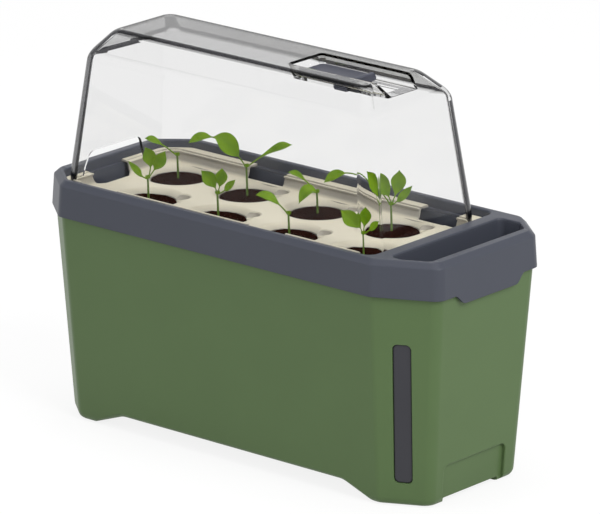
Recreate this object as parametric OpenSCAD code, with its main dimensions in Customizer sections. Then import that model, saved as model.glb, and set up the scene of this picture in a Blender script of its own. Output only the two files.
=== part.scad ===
// Self-watering herb planter for a window sill, in millimetres, +Z up.
// A tapered water tank carries a collar insert with a fill trough and a planting tub. A tray of eight
// soil plugs hangs in the tub, and a clear cover with a sliding vent stands on the tray.
// The origin is on the ground under the middle of the tank. +X points to the fill trough, -Y to the front.

/* [Collar] */
// Length of the collar across its end faces
collar_l = 380; // [372:1:400]
// Width of the collar across its long faces
collar_w = 159; // [157:1:172]
// Height of the collar's top above the ground
collar_top = 191; // [184:1:200]
// Height of the collar band
collar_h = 27.5; // [24:0.5:30]
// Width of the slope along the collar's top edge
collar_edge = 4; // [2:0.5:5]
// How far the band spreads from its top to its lower edge
collar_flare = 1.5; // [0.5:0.25:2.5]
// Run of the corner face with the gauge along the length
corner_l = 46; // [40:1:48]
// Run of the corner face with the gauge across the width
corner_w = 23; // [20:1:24]
// Run of the three other corner faces along the length
plain_l = 30; // [26:1:34]
// Run of the three other corner faces across the width
plain_w = 25; // [22:1:27]
// Radius of the upright edges of the tank and the collar
edge_round = 10; // [5:1:14]
// Thickness of the collar's band and top
collar_wall = 2.3; // [1.8:0.1:2.6]
// How far the grip lip hangs below the band at each end
lip_h = 7.3; // [4:0.5:9]
// Length of the grip lip along its lower edge
lip_l = 62; // [40:1:70]

/* [Water tank] */
// How far each tank wall leans out for each millimetre of height
tank_lean = 0.074; // [0.04:0.002:0.09]
// Wall of the tank
tank_wall = 2.5; // [2:0.1:3]
// Radius of the tank's lower edge
foot_round = 6; // [3:0.5:8]
// Height of the raised underside between the feet
arch_h = 11; // [8:0.5:13]
// Length of the level part of the raised underside
arch_l = 212; // [180:1:220]
// Length of the curve from the raised underside down to a foot
arch_run = 37; // [28:1:40]
// Width of the hand recess at each end
grip_w = 71; // [60:1:74]
// Height of the hand recess above the ground
grip_h = 30; // [26:1:36]
// Depth of the hand recess
grip_deep = 3; // [2:0.5:4]
// Height of the lower edge between the feet of each end
grip_edge = 3.5; // [3:0.5:6]

/* [Water gauge] */
// Width of the gauge slot
gauge_w = 14; // [11:0.5:15]
// Lower end of the gauge slot
gauge_z0 = 18; // [17:1:26]
// Upper end of the gauge slot
gauge_z1 = 127; // [116:1:130]
// How far the slot's middle lies in front of the middle of the corner face
gauge_shift = 3.3; // [2:0.1:4.5]
// Depth of the window's face in its slot
window_set = 1.2; // [0.8:0.1:1.6]
// Height of the float block
float_h = 10; // [8:1:16]

/* [Insert] */
// Width of the collar's top from its end face to the opening
rim_end = 11; // [10:0.5:13]
// Width of the collar's top from a long face to the opening
rim_side = 8.5; // [8.5:0.25:9.5]
// Width of the collar's top from a corner face to the opening
rim_corner = 7; // [7:0.1:9]
// Width of the fill trough
trough_w = 30; // [28:1:32]
// Width of the collar's top from a long face to the trough's end
trough_rim = 16.5; // [16.5:0.5:24]
// Depth of the fill trough
trough_deep = 41; // [30:1:46]
// Width of the bridge between the trough and the opening
bridge_w = 11.5; // [10:0.5:14]
// Depth of the planting tub below the collar's top
tub_deep = 65; // [62:1:68]
// Wall of the planting tub and the trough
tub_wall = 1.8; // [1.6:0.1:1.8]

/* [Tray and plugs] */
// Depth of the tray's rim below the collar's top
tray_drop = 5; // [4:0.5:7]
// Depth of the tray's floor below its rim
tray_deep = 10; // [8:0.5:11]
// Thickness of the tray
tray_wall = 1.4; // [1.2:0.1:1.5]
// Diameter of a soil plug at its top
plug_d = 42.6; // [38:0.2:43.6]
// Depth of the plug's top below the tray's floor
plug_drop = 4; // [3:0.5:5]
// Width of a notch in the tray's rim
notch_w = 36; // [24:1:40]
// Width of the finger cut at each end of the tray
finger_w = 39; // [28:1:44]

/* [Clear cover] */
// Height of the cover above the collar's top
dome_h = 110.7; // [104:0.5:130]
// Height of the sloped band below the cover's top
slope_h = 17.6; // [15:0.2:20]
// Wall of the cover
dome_wall = 2; // [1.6:0.1:2.2]
// Width of the hand opening at the cover's left end, along its top
hand_w = 56; // [40:1:58]
// Height of the hand opening above the cover's lower edge
hand_h = 18; // [14:1:24]
// Width of the vent channel at the cover's top
vent_w = 39; // [36:1:42]
// Depth of the vent channel
vent_deep = 9.4; // [8.5:0.1:11]
// Travel of the vent slide
vent_travel = 30; // [25:1:31]

/* [Hidden] */
$fn = 48;

// Clearances between pieces, and the overlap of forms in one piece
skirt_gap = 0.6;
neck_gap = 0.6;
fit_gap = 0.3;
tray_gap = 0.4;
corner_gap = 0.6;
cover_gap = 0.5;
eps = 0.01;
over = 1;

// Outline of the collar: eight faces given by their directions and their distances from the middle
corner_a = atan2(corner_l, corner_w);
half_l = collar_l / 2;
half_w = collar_w / 2;
plain_a = atan2(plain_l, plain_w);
corner_reach = (half_l * corner_w + (half_w - corner_w) * corner_l) / norm([corner_l, corner_w]);
plain_reach = (half_l * plain_w + (half_w - plain_w) * plain_l) / norm([plain_l, plain_w]);
octagon_dirs = [0, plain_a, 90, 180 - plain_a, 180, 180 + plain_a, 270, 360 - corner_a];
octagon_reach = [half_l, plain_reach, half_w, plain_reach, half_l, plain_reach, half_w, corner_reach];

// Heights of the collar and of the tank's neck inside it
skirt_z = collar_top - collar_h;
plate_z = collar_top - collar_wall;
shoulder_up = 1;
neck_rise = 2.5;
shoulder_z = skirt_z + shoulder_up;
neck_z = shoulder_z + neck_rise;
neck_in = collar_wall + neck_gap;
neck_wall = 2;
band_ease = 0.05;
plate_ease = 0.2;

// The lip at each end: the run of its lower corners and how far it lies inside the band's face
lip_corner = 2;
lip_in = 0.2;

// The raised underside and the hand recess
arch_x = -3;
arch_steps = 40;
ramp_soft = 0.18;
grip_side = 4;
grip_round = 5;

// The opening of the insert, the ledge in it and the tub below
open_right = half_l - rim_end - trough_w - bridge_w;
open_left = half_l - rim_end;
open_side = half_w - rim_side;
open_corner = plain_reach - rim_corner;
open_round = 8;
open_dirs = [0, 90, 180 - plain_a, 180, 180 + plain_a, 270];
open_reach = [open_right, open_side, open_corner, open_left, open_corner, open_side];
rim_z = collar_top - tray_drop;
step_h = 1.5;
flange_h = step_h + tray_wall;
ledge_z = rim_z - flange_h;
ledge_w = 2.4;
tub_z = collar_top - tub_deep;
tub_in = 6;
trough_x = open_right + bridge_w;
trough_l = collar_w - 2 * trough_rim;
trough_dirs = [0, plain_a, 90, 180, 270, 360 - corner_a];
trough_side = 7.5;
trough_plain = plain_reach - trough_side;
trough_corner = corner_reach - trough_side;
trough_reach = [half_l - rim_end, trough_plain, trough_l / 2, -trough_x, trough_l / 2, trough_corner];
trough_z = collar_top - trough_deep;
trough_in = 2.5;
trough_round = 4.5;
drain_part = [0.5, 0.2, 0.27];
mat_t = 3.4;
mat_gap = 1;

// The clear cover: distances of its right, back, left and front walls at the collar's top
dome_dirs = [0, 90, 180, 270];
dome_in = [6.6, 9.2, 5.6, 9.2];
dome_reach = [open_right, open_side, open_left, open_side] - dome_in;
dome_corner = open_corner - corner_gap - tray_wall - cover_gap;
corner_far = dome_reach[2] * cos(plain_a) + dome_reach[1] * sin(plain_a);
least_round = 14;
dome_round = max(least_round, (corner_far - dome_corner) / (cos(plain_a) + sin(plain_a) - 1));
lean_in = [13.6, 10.8, 10.8, 10.8];
slope_in = [17.5, 18.5, 13.3, 18.5];
round_in = 3;
dome_top = collar_top + dome_h;
slope_z = dome_top - slope_h;
dome_rise = slope_z - collar_top;
step_z = rim_z - step_h;
dome_x = (dome_reach[0] - dome_reach[2]) / 2;
hand_y = -5.5;
hand_spread = 7;

// The tray's floor, cups and plugs
floor_in = 4.5;
step_in = 2.4;
rim_ease = 0.4;
floor_z = rim_z - tray_deep;
plug_z = floor_z - plug_drop;
cup_z = tub_z + mat_t + fit_gap;
cup_floor = cup_z + tray_wall;
plug_r = plug_d / 2;
cup_r = plug_r + fit_gap;
cup_taper = 1.6;
plug_ease = 0.2;
drain_r = 7;
flare_w = 3.6;
flare_h = 3;
boss_w = 2.6;
boss_h = 4;
boss_z = plug_z - boss_h;
dimple_r = 5;
dimple_h = 4.4;
dimple_at = 2.4;
pitch_part = 0.2294;
stagger_part = 0.32;
row_part = 0.4725;
pitch = (dome_reach[0] + dome_reach[2]) * pitch_part;
stagger = pitch * stagger_part;
row_y = dome_reach[1] * row_part;
notch_part = [0.754, -1.628];
notch_in = 8;
finger_y = -10;
finger_in = 14;
finger_round = 8.5;

// The vent channel, its opening and the slide
vent_start = 35;
vent_x0 = dome_x + vent_start;
vent_z = dome_top - vent_deep;
vent_in = 4.7;
vent_round = 4;
slide_l = 54;
slide_t = 3.2;
ridge_l = 7;
ridge_h = 3.4;
ridge_in = 3.5;
slide_x0 = vent_x0 + vent_in;
slide_x1 = slide_x0 + slide_l;
slide_w = vent_w - 2 * vent_in - 2 * cover_gap;
clip_l = 12;
clip_t = 2;
hook_w = 1.4;
hook_h = 1.6;
clip_end = 5;
clip_side = 2;
clip_x = slide_x1 - clip_l - clip_end;
clip_y = slide_w / 2 - clip_side;
hole_gap = 4;
hole_end = 3;
hole_x0 = slide_x1 + hole_gap;
hole_x1 = slide_x1 + vent_travel - hole_end;
hole_w = 15;

// The gauge: its middle on the front right corner face, and how far along that face it lies
gauge_mid = (gauge_z0 + gauge_z1) / 2;
gauge_l = gauge_z1 - gauge_z0;
corner_mid = [half_l - corner_l / 2, half_w - corner_w / 2];
gauge_along = corner_mid[0] * sin(corner_a) - corner_mid[1] * cos(corner_a) - gauge_shift;
frame_w = 4;
slot_round = 4;
seal_t = 1;
flange_t = 1.8;
window_x = -tank_wall - seal_t;
cage_x = window_x - flange_t;
cage_deep = 11;
cage_side = 0.5;
cage_w = gauge_w + 2 * cage_side;
cage_wall = 1.5;
cage_rim = 3;
cage_round = 1;
float_round = 1.5;

// The wicks
wick_w = 30;
wick_t = 3;
wick_x = pitch * 1.36;
wick_gap = 1.5;
wick_z = arch_h + tank_wall + wick_gap;

// The sprouts: stem height and heading of each, back row first
stem_h = [21, 33, 24, 32, 24, 27, 24, 24];
stem_turn = [20, 150, 200, 165, 140, 120, 185, 170];
leaf_l = [15, 27, 21, 23, 19, 17, 19, 17];
stem_r = 1.2;
stem_tip = 0.9;
seed_deep = 12;
leaf_t = 0.7;
leaf_cup = 0.22;
stalk_in = 0.5;
stalk_w = 0.32;
stalk_part = 0.2;

// The leaves of a sprout: turn, then length, width, rise and droop as shares of its longest leaf
leaves = [
  [0, 1, 0.5, 0.55, 0.2],
  [170, 0.8, 0.42, 0.5, 0.12],
  [85, 0.42, 0.26, 0.34, 0]
];

// Point where two faces meet, each given by its distance h and its direction a
function meet(h1, a1, h2, a2) =
  [h1 * sin(a2) - h2 * sin(a1), h2 * cos(a1) - h1 * cos(a2)] / sin(a2 - a1);

// Closed outline of faces with rounded corners, anticlockwise from the first face
function ring(dirs, reach, round, steps = 4) = [
  for (i = [0 : len(dirs) - 1])
    let (
      j = (i + 1) % len(dirs),
      a1 = dirs[i],
      a2 = dirs[j] + (j == 0 ? 360 : 0),
      c = meet(reach[i] - round, a1, reach[j] - round, a2)
    )
    for (s = [0 : steps])
      let (t = a1 + (a2 - a1) * s / steps)
      c + round * [cos(t), sin(t)]
];

// Each distance of a list less one amount
function inset(reach, amount) = [for (h = reach) h - amount];

// Outlines of the collar and tank, the opening and tub, and the trough, each moved inward by an amount
function octagon(amount) = ring(octagon_dirs, inset(octagon_reach, amount), edge_round);
function opening(amount) = ring(open_dirs, inset(open_reach, amount), open_round);
function trough(amount) = ring(trough_dirs, inset(trough_reach, amount), trough_round);

// Outline of the cover at height z, moved inward by an amount
function cover(z, amount) =
  let (
    up = min(max(z - collar_top, 0), dome_rise) / dome_rise,
    past = max(z - slope_z, 0) / slope_h,
    reach = dome_reach - up * lean_in - past * slope_in
  )
  ring(dome_dirs, inset(reach, amount), dome_round - round_in * (up + past) - amount);

// How far the tank's wall lies inside the collar's outline at height z
function tank_in(z) = collar_wall + skirt_gap - collar_flare + tank_lean * (skirt_z - z);

// Middle of plug i: four in the back row, then four in the front row
function plug_at(i) =
  let (side = i < 4 ? 1 : -1)
  [dome_x + (i % 4 - 1.5) * pitch - side * stagger / 2, side * row_y];

// Inner radius of a cup at height z
function cup_at(z) = cup_r - cup_taper * (floor_z - z) / (floor_z - cup_floor);

// Straight ramp from 0 to 1 with rounded ends
function ramp(t) =
  let (e = ramp_soft, k = 2 * e * (1 - e))
  t < e ? t * t / k : t > 1 - e ? 1 - (1 - t) * (1 - t) / k : (t - e / 2) / (1 - e);

// Height of the raised underside at x, for a level part of half length h
function arch_at(x, h) = arch_h * ramp(min(max((h + arch_run - abs(x)) / arch_run, 0), 1));

// Solid through a list of closed rings of points, anticlockwise seen from the last ring
module skin(rings) {
  n = len(rings[0]);
  m = len(rings);
  lower = [for (i = [0 : m - 2]) for (j = [0 : n - 1])
    [i * n + j, (i + 1) * n + j, (i + 1) * n + (j + 1) % n]];
  upper = [for (i = [0 : m - 2]) for (j = [0 : n - 1])
    [i * n + j, (i + 1) * n + (j + 1) % n, i * n + (j + 1) % n]];
  base = [[for (j = [0 : n - 1]) j]];
  cap = [[for (j = [0 : n - 1]) m * n - 1 - j]];
  polyhedron(points = [for (r = rings) each r], faces = concat(base, lower, upper, cap), convexity = 8);
}

// Solid through a list of [outline, height] pairs, each outline with the same number of points
module loft(sections) {
  skin([for (s = sections) [for (p = s[0]) [p[0], p[1], s[1]]]]);
}

// Flat plate with rounded corners, standing in the plane across X, t thick towards -X
module plate(w, h, r, t) {
  rotate([90, 0, 90])
    translate([0, 0, -t])
      linear_extrude(t)
        polygon(ring(dome_dirs, [w / 2, h / 2, w / 2, h / 2], r));
}

// Places children on the front right corner face: +X out of the face, +Z up along it
module on_gauge() {
  rotate([0, 0, -corner_a])
    translate([corner_reach - tank_in(gauge_mid), gauge_along, gauge_mid])
      rotate([0, atan(tank_lean), 0])
        children();
}

// Places children on the right and the left end face of the tank, at height z
module on_ends(z) {
  for (side = [0, 180])
    rotate([0, 0, side])
      translate([half_l - tank_in(z), 0, z])
        rotate([0, atan(tank_lean), 0])
          children();
}

// Block under the raised underside, larger by grow
module arch_block(grow) {
  half = arch_l / 2 + grow;
  end = half + arch_run;
  n = arch_steps;
  translate([arch_x, 0, 0])
    rotate([90, 0, 0])
      linear_extrude(collar_w, center = true)
        polygon(concat(
          [for (i = [-n : n]) [end * i / n, arch_at(end * i / n, half) + grow]],
          [[end, -over], [-end, -over]]
        ));
}

// Block under the raised lower edge of each end, larger by grow
module grip_block(grow) {
  long = corner_l + foot_round + grow;
  wide = grip_w / 2 - grip_side + grow;
  for (side = [-1, 1])
    translate([side * half_l, 0, 0])
      cube([2 * long, 2 * wide, 2 * (grip_edge + grow)], center = true);
}

// Hand recess at each end, larger by grow
module grip_recess(grow) {
  on_ends(grip_h / 2)
    translate([grow == 0 ? eps : -grow, 0, -grip_h / 2])
      plate(grip_w + 2 * grow, 2 * (grip_h + grow), grip_round, grip_deep + grow);
}

// Outer form of the tank: feet, leaning wall, shoulder and neck
module tank_form() {
  r = foot_round;
  loft(concat(
    [for (t = [0 : 18 : 90]) [octagon(tank_in(r * (1 - cos(t))) + r * (1 - sin(t))), r * (1 - cos(t))]],
    [
      [octagon(tank_in(shoulder_z)), shoulder_z],
      [octagon(neck_in), neck_z],
      [octagon(neck_in), plate_z]
    ]
  ));
}

// Water space of the tank, above its floor
module tank_space() {
  w = tank_wall;
  loft([
    [octagon(tank_in(w) + w + foot_round / 2), w],
    [octagon(tank_in(w + foot_round / 2) + w), w + foot_round / 2],
    [octagon(tank_in(shoulder_z - w / 2) + w), shoulder_z - w / 2],
    [octagon(neck_in + neck_wall), neck_z - w / 2],
    [octagon(neck_in + neck_wall), plate_z + over]
  ]);
}

module water_tank() {
  color([0.33, 0.45, 0.26])
    difference() {
      tank_form();
      arch_block(0);
      grip_block(0);
      grip_recess(0);
      difference() {
        tank_space();
        arch_block(tank_wall);
        grip_block(tank_wall);
        grip_recess(tank_wall);
      }
      on_gauge()
        translate([over, 0, 0])
          plate(gauge_w, gauge_l, slot_round, tank_wall + 3 * over);
    }
}

// Clear strip that fills the gauge slot, with a flange behind the tank's wall
module gauge_window() {
  strip_t = -window_x - window_set + eps;
  color([0.2, 0.2, 0.22, 0.6])
    on_gauge() {
      translate([-window_set, 0, 0])
        plate(gauge_w - 2 * fit_gap, gauge_l - 2 * fit_gap, slot_round - fit_gap, strip_t);
      translate([window_x, 0, 0])
        plate(gauge_w + 2 * frame_w, gauge_l + 2 * frame_w, slot_round + 1, flange_t);
    }
}

// Soft ring between the window's flange and the tank's wall
module gauge_seal() {
  color([0.1, 0.1, 0.1])
    on_gauge()
      translate([-tank_wall, 0, 0])
        difference() {
          plate(gauge_w + 2 * frame_w, gauge_l + 2 * frame_w, slot_round + 1, seal_t);
          translate([over, 0, 0])
            plate(gauge_w, gauge_l, slot_round, seal_t + 2 * over);
        }
}

// Upright cage behind the window that guides the float
module float_cage() {
  color([0.18, 0.18, 0.2])
    on_gauge()
      difference() {
        translate([cage_x, 0, 0])
          plate(cage_w + 2 * cage_wall, gauge_l + 2 * cage_wall, cage_round, cage_deep + cage_wall);
        translate([cage_x + over, 0, 0])
          plate(cage_w, gauge_l, cage_round / 2, cage_deep + over);
        for (end = [-1, 1])
          translate([cage_x - cage_deep / 2, 0, end * gauge_l / 2])
            cube([cage_deep - 2 * cage_rim, cage_w - 2 * cage_rim, 4 * cage_wall], center = true);
      }
}

// Float at the bottom of the cage, as in an empty tank
module level_float() {
  color([0.8, 0.8, 0.78])
    on_gauge()
      translate([cage_x - fit_gap, 0, float_h / 2 - gauge_l / 2])
        plate(cage_w - 2 * fit_gap, float_h, float_round, cage_deep - 2 * fit_gap);
}

// Collar band with its sloped top edge and its hollow underside
module collar_band() {
  difference() {
    loft([
      [octagon(-collar_flare), skirt_z],
      [octagon(0), collar_top - collar_edge],
      [octagon(collar_edge), collar_top]
    ]);
    loft([
      [octagon(collar_wall - collar_flare - band_ease), skirt_z - over],
      [octagon(collar_wall), collar_top - collar_edge],
      [octagon(collar_wall + plate_ease), plate_z]
    ]);
  }
}

// Grip lip below the band at each end
module grip_lips() {
  low = lip_l / 2;
  high = low + lip_h;
  for (side = [0, 180])
    rotate([0, 0, side])
      translate([half_l + collar_flare - lip_in, 0, skirt_z])
        rotate([90, 0, 90])
          translate([0, 0, -collar_wall])
            linear_extrude(collar_wall)
              polygon([
                [high, 0], [high, over], [-high, over], [-high, 0],
                [-low - lip_corner, 1 - lip_h], [-low + lip_corner, -lip_h],
                [low - lip_corner, -lip_h], [low + lip_corner, 1 - lip_h]
              ]);
}

// Outer form of the tub with the step that carries the tray's rim
module tub_form() {
  w = tub_wall;
  loft([
    [opening(ledge_w + tub_in - w), tub_z - w],
    [opening(ledge_w - w), ledge_z - w],
    [opening(-w), ledge_z - w],
    [opening(-w), plate_z]
  ]);
}

// Space inside the tub and the opening above its ledge
module tub_space() {
  loft([
    [opening(ledge_w + tub_in), tub_z],
    [opening(ledge_w), ledge_z],
    [opening(0), ledge_z],
    [opening(0), collar_top + over]
  ]);
}

// Fill trough, larger by grow, from height low up to high
module trough_form(grow, low, high) {
  loft([
    [trough(trough_in - grow), low],
    [trough(-grow), high]
  ]);
}

// Collar: the band with its lips, and the mouths of the tub and the trough in its top
module collar() {
  color([0.29, 0.3, 0.33])
    difference() {
      union() {
        collar_band();
        grip_lips();
      }
      tub_space();
      trough_form(0, trough_z, collar_top + over);
    }
}

// Planting tub, joined to the underside of the collar's top, with a slot for each wick
module planting_tub() {
  color([0.29, 0.3, 0.33])
    difference() {
      tub_form();
      tub_space();
      for (side = [-1, 1])
        translate([dome_x + side * wick_x, 0, tub_z])
          cube([wick_w + 2 * fit_gap, wick_t + 2 * fit_gap, 6 * tub_wall], center = true);
    }
}

// Fill trough, joined to the underside of the collar's top, with three drains to the tank
module fill_trough() {
  color([0.29, 0.3, 0.33])
    difference() {
      trough_form(tub_wall, trough_z - tub_wall, plate_z);
      trough_form(0, trough_z, collar_top + over);
      for (i = [-1, 0, 1])
        translate([trough_x + trough_w / 2, i * trough_l * drain_part[2], trough_z])
          cube([trough_w * drain_part[0], trough_l * drain_part[1], 6 * tub_wall], center = true);
    }
}

// Felt mat on the floor of the tub
module wick_mat() {
  color([0.75, 0.73, 0.68])
    translate([0, 0, tub_z])
      linear_extrude(mat_t)
        polygon(opening(ledge_w + tub_in + mat_gap));
}

// Felt strip from the mat down to the tank's floor
module wick(side) {
  color([0.75, 0.73, 0.68])
    translate([dome_x + side * wick_x - wick_w / 2, -wick_t / 2, wick_z])
      cube([wick_w, wick_t, tub_z - wick_z]);
}

module wick_left() {
  wick(-1);
}

module wick_right() {
  wick(1);
}

// Tray shell: floor, wall, and the step for the cover, which runs into the rim
module tray_shell() {
  w = tray_wall;
  loft([
    [cover(collar_top, floor_in - w), floor_z - w],
    [cover(collar_top, step_in - w), ledge_z],
    [cover(step_z, -cover_gap - over), ledge_z + rim_ease],
    [cover(step_z, -cover_gap - over), step_z],
    [cover(collar_top, step_in), step_z],
    [cover(collar_top, floor_in), floor_z]
  ]);
}

// Turns children half round the middle of the tray as well
module twice() {
  for (turn = [0, 180])
    translate([dome_x, 0, 0])
      rotate([0, 0, turn])
        translate([-dome_x, 0, 0])
          children();
}

// Finger cut at the tray's end and the two notches in its long rim
module rim_cuts() {
  half = finger_w / 2;
  translate([-open_left, finger_y, floor_z - tray_deep])
    linear_extrude(3 * tray_deep)
      polygon(ring(dome_dirs, [finger_in, half, half, half], finger_round));
  for (part = notch_part)
    translate([dome_x - pitch * part - notch_w / 2, open_side - 2 * notch_in, floor_z])
      cube([notch_w, 3 * notch_in, tray_deep + over]);
}

module seedling_tray() {
  side_dir = [cos(45), sin(45)];
  color([0.85, 0.82, 0.74])
    difference() {
      union() {
        tray_shell();
        translate([0, 0, ledge_z])
          linear_extrude(flange_h)
            difference() {
              polygon(opening(tray_gap));
              polygon(cover(step_z, -cover_gap));
            }
        for (i = [0 : 7])
          translate(plug_at(i)) {
            translate([0, 0, boss_z])
              cylinder(floor_z - boss_z - eps, r = cup_r + tray_wall + boss_w);
            translate([0, 0, floor_z - dimple_h - tray_wall])
              translate(side_dir * (cup_r + dimple_at))
                cylinder(dimple_h + tray_wall - eps, r = dimple_r + tray_wall);
          }
      }
      for (i = [0 : 7])
        translate(plug_at(i)) {
          translate([0, 0, boss_z - over])
            cylinder(floor_z - boss_z + over, cup_at(boss_z - over), cup_r);
          translate([0, 0, floor_z - flare_h])
            cylinder(flare_h + eps, cup_r, cup_r + flare_w);
          translate([0, 0, floor_z - dimple_h])
            translate(side_dir * (cup_r + dimple_at))
              cylinder(dimple_h + over, r = dimple_r);
        }
      twice()
        rim_cuts();
    }
}

// Cup joined under a hole of the tray, with a drain in its floor
module plug_cup(i) {
  color([0.85, 0.82, 0.74])
    translate(plug_at(i))
      difference() {
        translate([0, 0, cup_z])
          cylinder(boss_z - cup_z, cup_at(cup_z) + tray_wall, cup_at(boss_z) + tray_wall);
        translate([0, 0, cup_floor])
          cylinder(boss_z + over - cup_floor, cup_at(cup_floor), cup_at(boss_z + over));
        translate([0, 0, cup_z - over])
          cylinder(tray_wall + 2 * over, r = drain_r);
      }
}

// Pressed soil plug with the hole that its sprout grows from
module soil_plug(i) {
  color([0.18, 0.1, 0.09])
    translate(plug_at(i))
      difference() {
        translate([0, 0, cup_floor])
          cylinder(plug_z - cup_floor, plug_r - cup_taper, plug_r - plug_ease);
        translate([0, 0, plug_z - seed_deep])
          cylinder(seed_deep + over, r = stem_r + fit_gap);
      }
}

// Cupped leaf along +X with its stalk at the origin, rising by lift and hanging by droop at its tip
module leaf(long, wide, lift, droop) {
  m = 9;
  ribs = [for (i = [0 : m])
    let (
      t = i / m,
      blade = min(max(t - stalk_part, 0) / (1 - stalk_part), 0.98),
      w = max(stalk_w, wide / 2 * pow(sin(180 * blade), 0.75)),
      x = stalk_in + long * t * (1 - 0.12 * t),
      z = lift * sin(90 * t) - droop * t * t
    )
    [[x, -w, z + leaf_cup * w], [x, 0, z - leaf_t / 2], [x, w, z + leaf_cup * w], [x, 0, z + leaf_t / 2]]];
  skin(ribs);
}

// Sprout of plug i: a stem with two seed leaves and two young leaves
module seedling(i) {
  tall = stem_h[i];
  long = leaf_l[i];
  color([0.36, 0.55, 0.13])
    translate([plug_at(i)[0], plug_at(i)[1], plug_z]) {
      translate([0, 0, -seed_deep])
        cylinder(seed_deep + tall + leaf_t, stem_r, stem_r * stem_tip, $fn = 24);
      for (form = leaves)
        translate([0, 0, tall])
          rotate([0, 0, stem_turn[i] + form[0]])
            leaf(long * form[1], long * form[2], long * form[3], long * form[4]);
    }
}

// Outer form of the cover, less an amount all round
module dome_form(amount, low) {
  loft([
    [cover(low, amount), low],
    [cover(collar_top, amount), collar_top],
    [cover(slope_z, amount), slope_z - amount / 3],
    [cover(dome_top, amount), dome_top - amount]
  ]);
}

// Vent channel in the cover's top, open at the right, larger by grow
module vent_channel(grow, low, high) {
  top = vent_w / 2 + grow;
  foot = top - vent_in;
  far = dome_reach[0];
  loft([
    [ring(dome_dirs, [far, foot, -vent_x0 - vent_in + grow, foot], vent_round), low],
    [ring(dome_dirs, [far, top, -vent_x0 + grow, top], vent_round), high]
  ]);
}

module dome_cover() {
  hand_top = hand_w / 2;
  hand_low = hand_top + hand_spread;
  color([0.85, 0.87, 0.88, 0.35])
    difference() {
      union() {
        difference() {
          dome_form(0, step_z);
          dome_form(dome_wall, step_z - eps);
        }
        intersection() {
          dome_form(0, step_z);
          vent_channel(dome_wall, vent_z - dome_wall, dome_top);
        }
      }
      vent_channel(0, vent_z, dome_top + eps);
      translate([hole_x0, -hole_w / 2, vent_z - 2 * dome_wall])
        cube([hole_x1 - hole_x0, hole_w, 3 * dome_wall]);
      for (side = [-1, 1])
        translate([clip_x - fit_gap, side * clip_y - clip_t / 2 - fit_gap, vent_z - 2 * dome_wall])
          cube([clip_l + vent_travel + 2 * fit_gap, clip_t + 2 * fit_gap, 3 * dome_wall]);
      translate([-open_left, hand_y, step_z])
        rotate([90, 0, 90])
          linear_extrude(open_left / 4)
            polygon([[-hand_low, -over], [hand_low, -over], [hand_top, hand_h], [-hand_top, hand_h]]);
    }
}

// Slide with a thumb ridge, and two clips that hold it to the floor of the vent channel
module vent_slide() {
  low = vent_z + fit_gap;
  color([0.34, 0.35, 0.4]) {
    translate([0, 0, low])
      linear_extrude(slide_t)
        polygon(ring(
          dome_dirs,
          [slide_x1, slide_w / 2, -slide_x0 - cover_gap, slide_w / 2],
          vent_round - cover_gap
        ));
    translate([slide_x1 - ridge_l, 0, low + slide_t - eps])
      rotate([90, 0, 0])
        linear_extrude(slide_w - 2 * ridge_in, center = true)
          polygon([[0, 0], [ridge_l, 0], [ridge_l, ridge_h * 0.76], [ridge_l * 0.72, ridge_h]]);
    for (side = [-1, 1])
      translate([clip_x, side * clip_y - clip_t / 2, vent_z - dome_wall - fit_gap - hook_h]) {
        cube([clip_l, clip_t, dome_wall + 2 * fit_gap + hook_h + eps]);
        translate([0, side > 0 ? 0 : -hook_w, 0])
          cube([clip_l, clip_t + hook_w, hook_h]);
      }
  }
}

water_tank();
gauge_window();
gauge_seal();
float_cage();
level_float();
collar();
planting_tub();
fill_trough();
wick_mat();
wick_left();
wick_right();
seedling_tray();
plug_cup(0);  // plug_cup_1
plug_cup(1);  // plug_cup_2
plug_cup(2);  // plug_cup_3
plug_cup(3);  // plug_cup_4
plug_cup(4);  // plug_cup_5
plug_cup(5);  // plug_cup_6
plug_cup(6);  // plug_cup_7
plug_cup(7);  // plug_cup_8
soil_plug(0);  // soil_plug_1
soil_plug(1);  // soil_plug_2
soil_plug(2);  // soil_plug_3
soil_plug(3);  // soil_plug_4
soil_plug(4);  // soil_plug_5
soil_plug(5);  // soil_plug_6
soil_plug(6);  // soil_plug_7
soil_plug(7);  // soil_plug_8
seedling(0);  // seedling_1
seedling(1);  // seedling_2
seedling(2);  // seedling_3
seedling(3);  // seedling_4
seedling(4);  // seedling_5
seedling(5);  // seedling_6
seedling(6);  // seedling_7
seedling(7);  // seedling_8
dome_cover();
vent_slide();
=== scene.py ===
"""Looks of a self-watering herb planter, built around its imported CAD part.

Sizes are in millimetres, and each form is scaled to metres once, when it is dressed.
+X points to the fill trough, -Y to the front with the water gauge, +Z up, as in the CAD part.
"""

import logging
import math
from collections.abc import Sequence
from dataclasses import dataclass
from enum import Enum
from typing import Any

import bpy
import numpy as np
from bpy.types import Material, NodeSocket, NodeTree, Object
from mathutils import Matrix, Vector, noise


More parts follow.
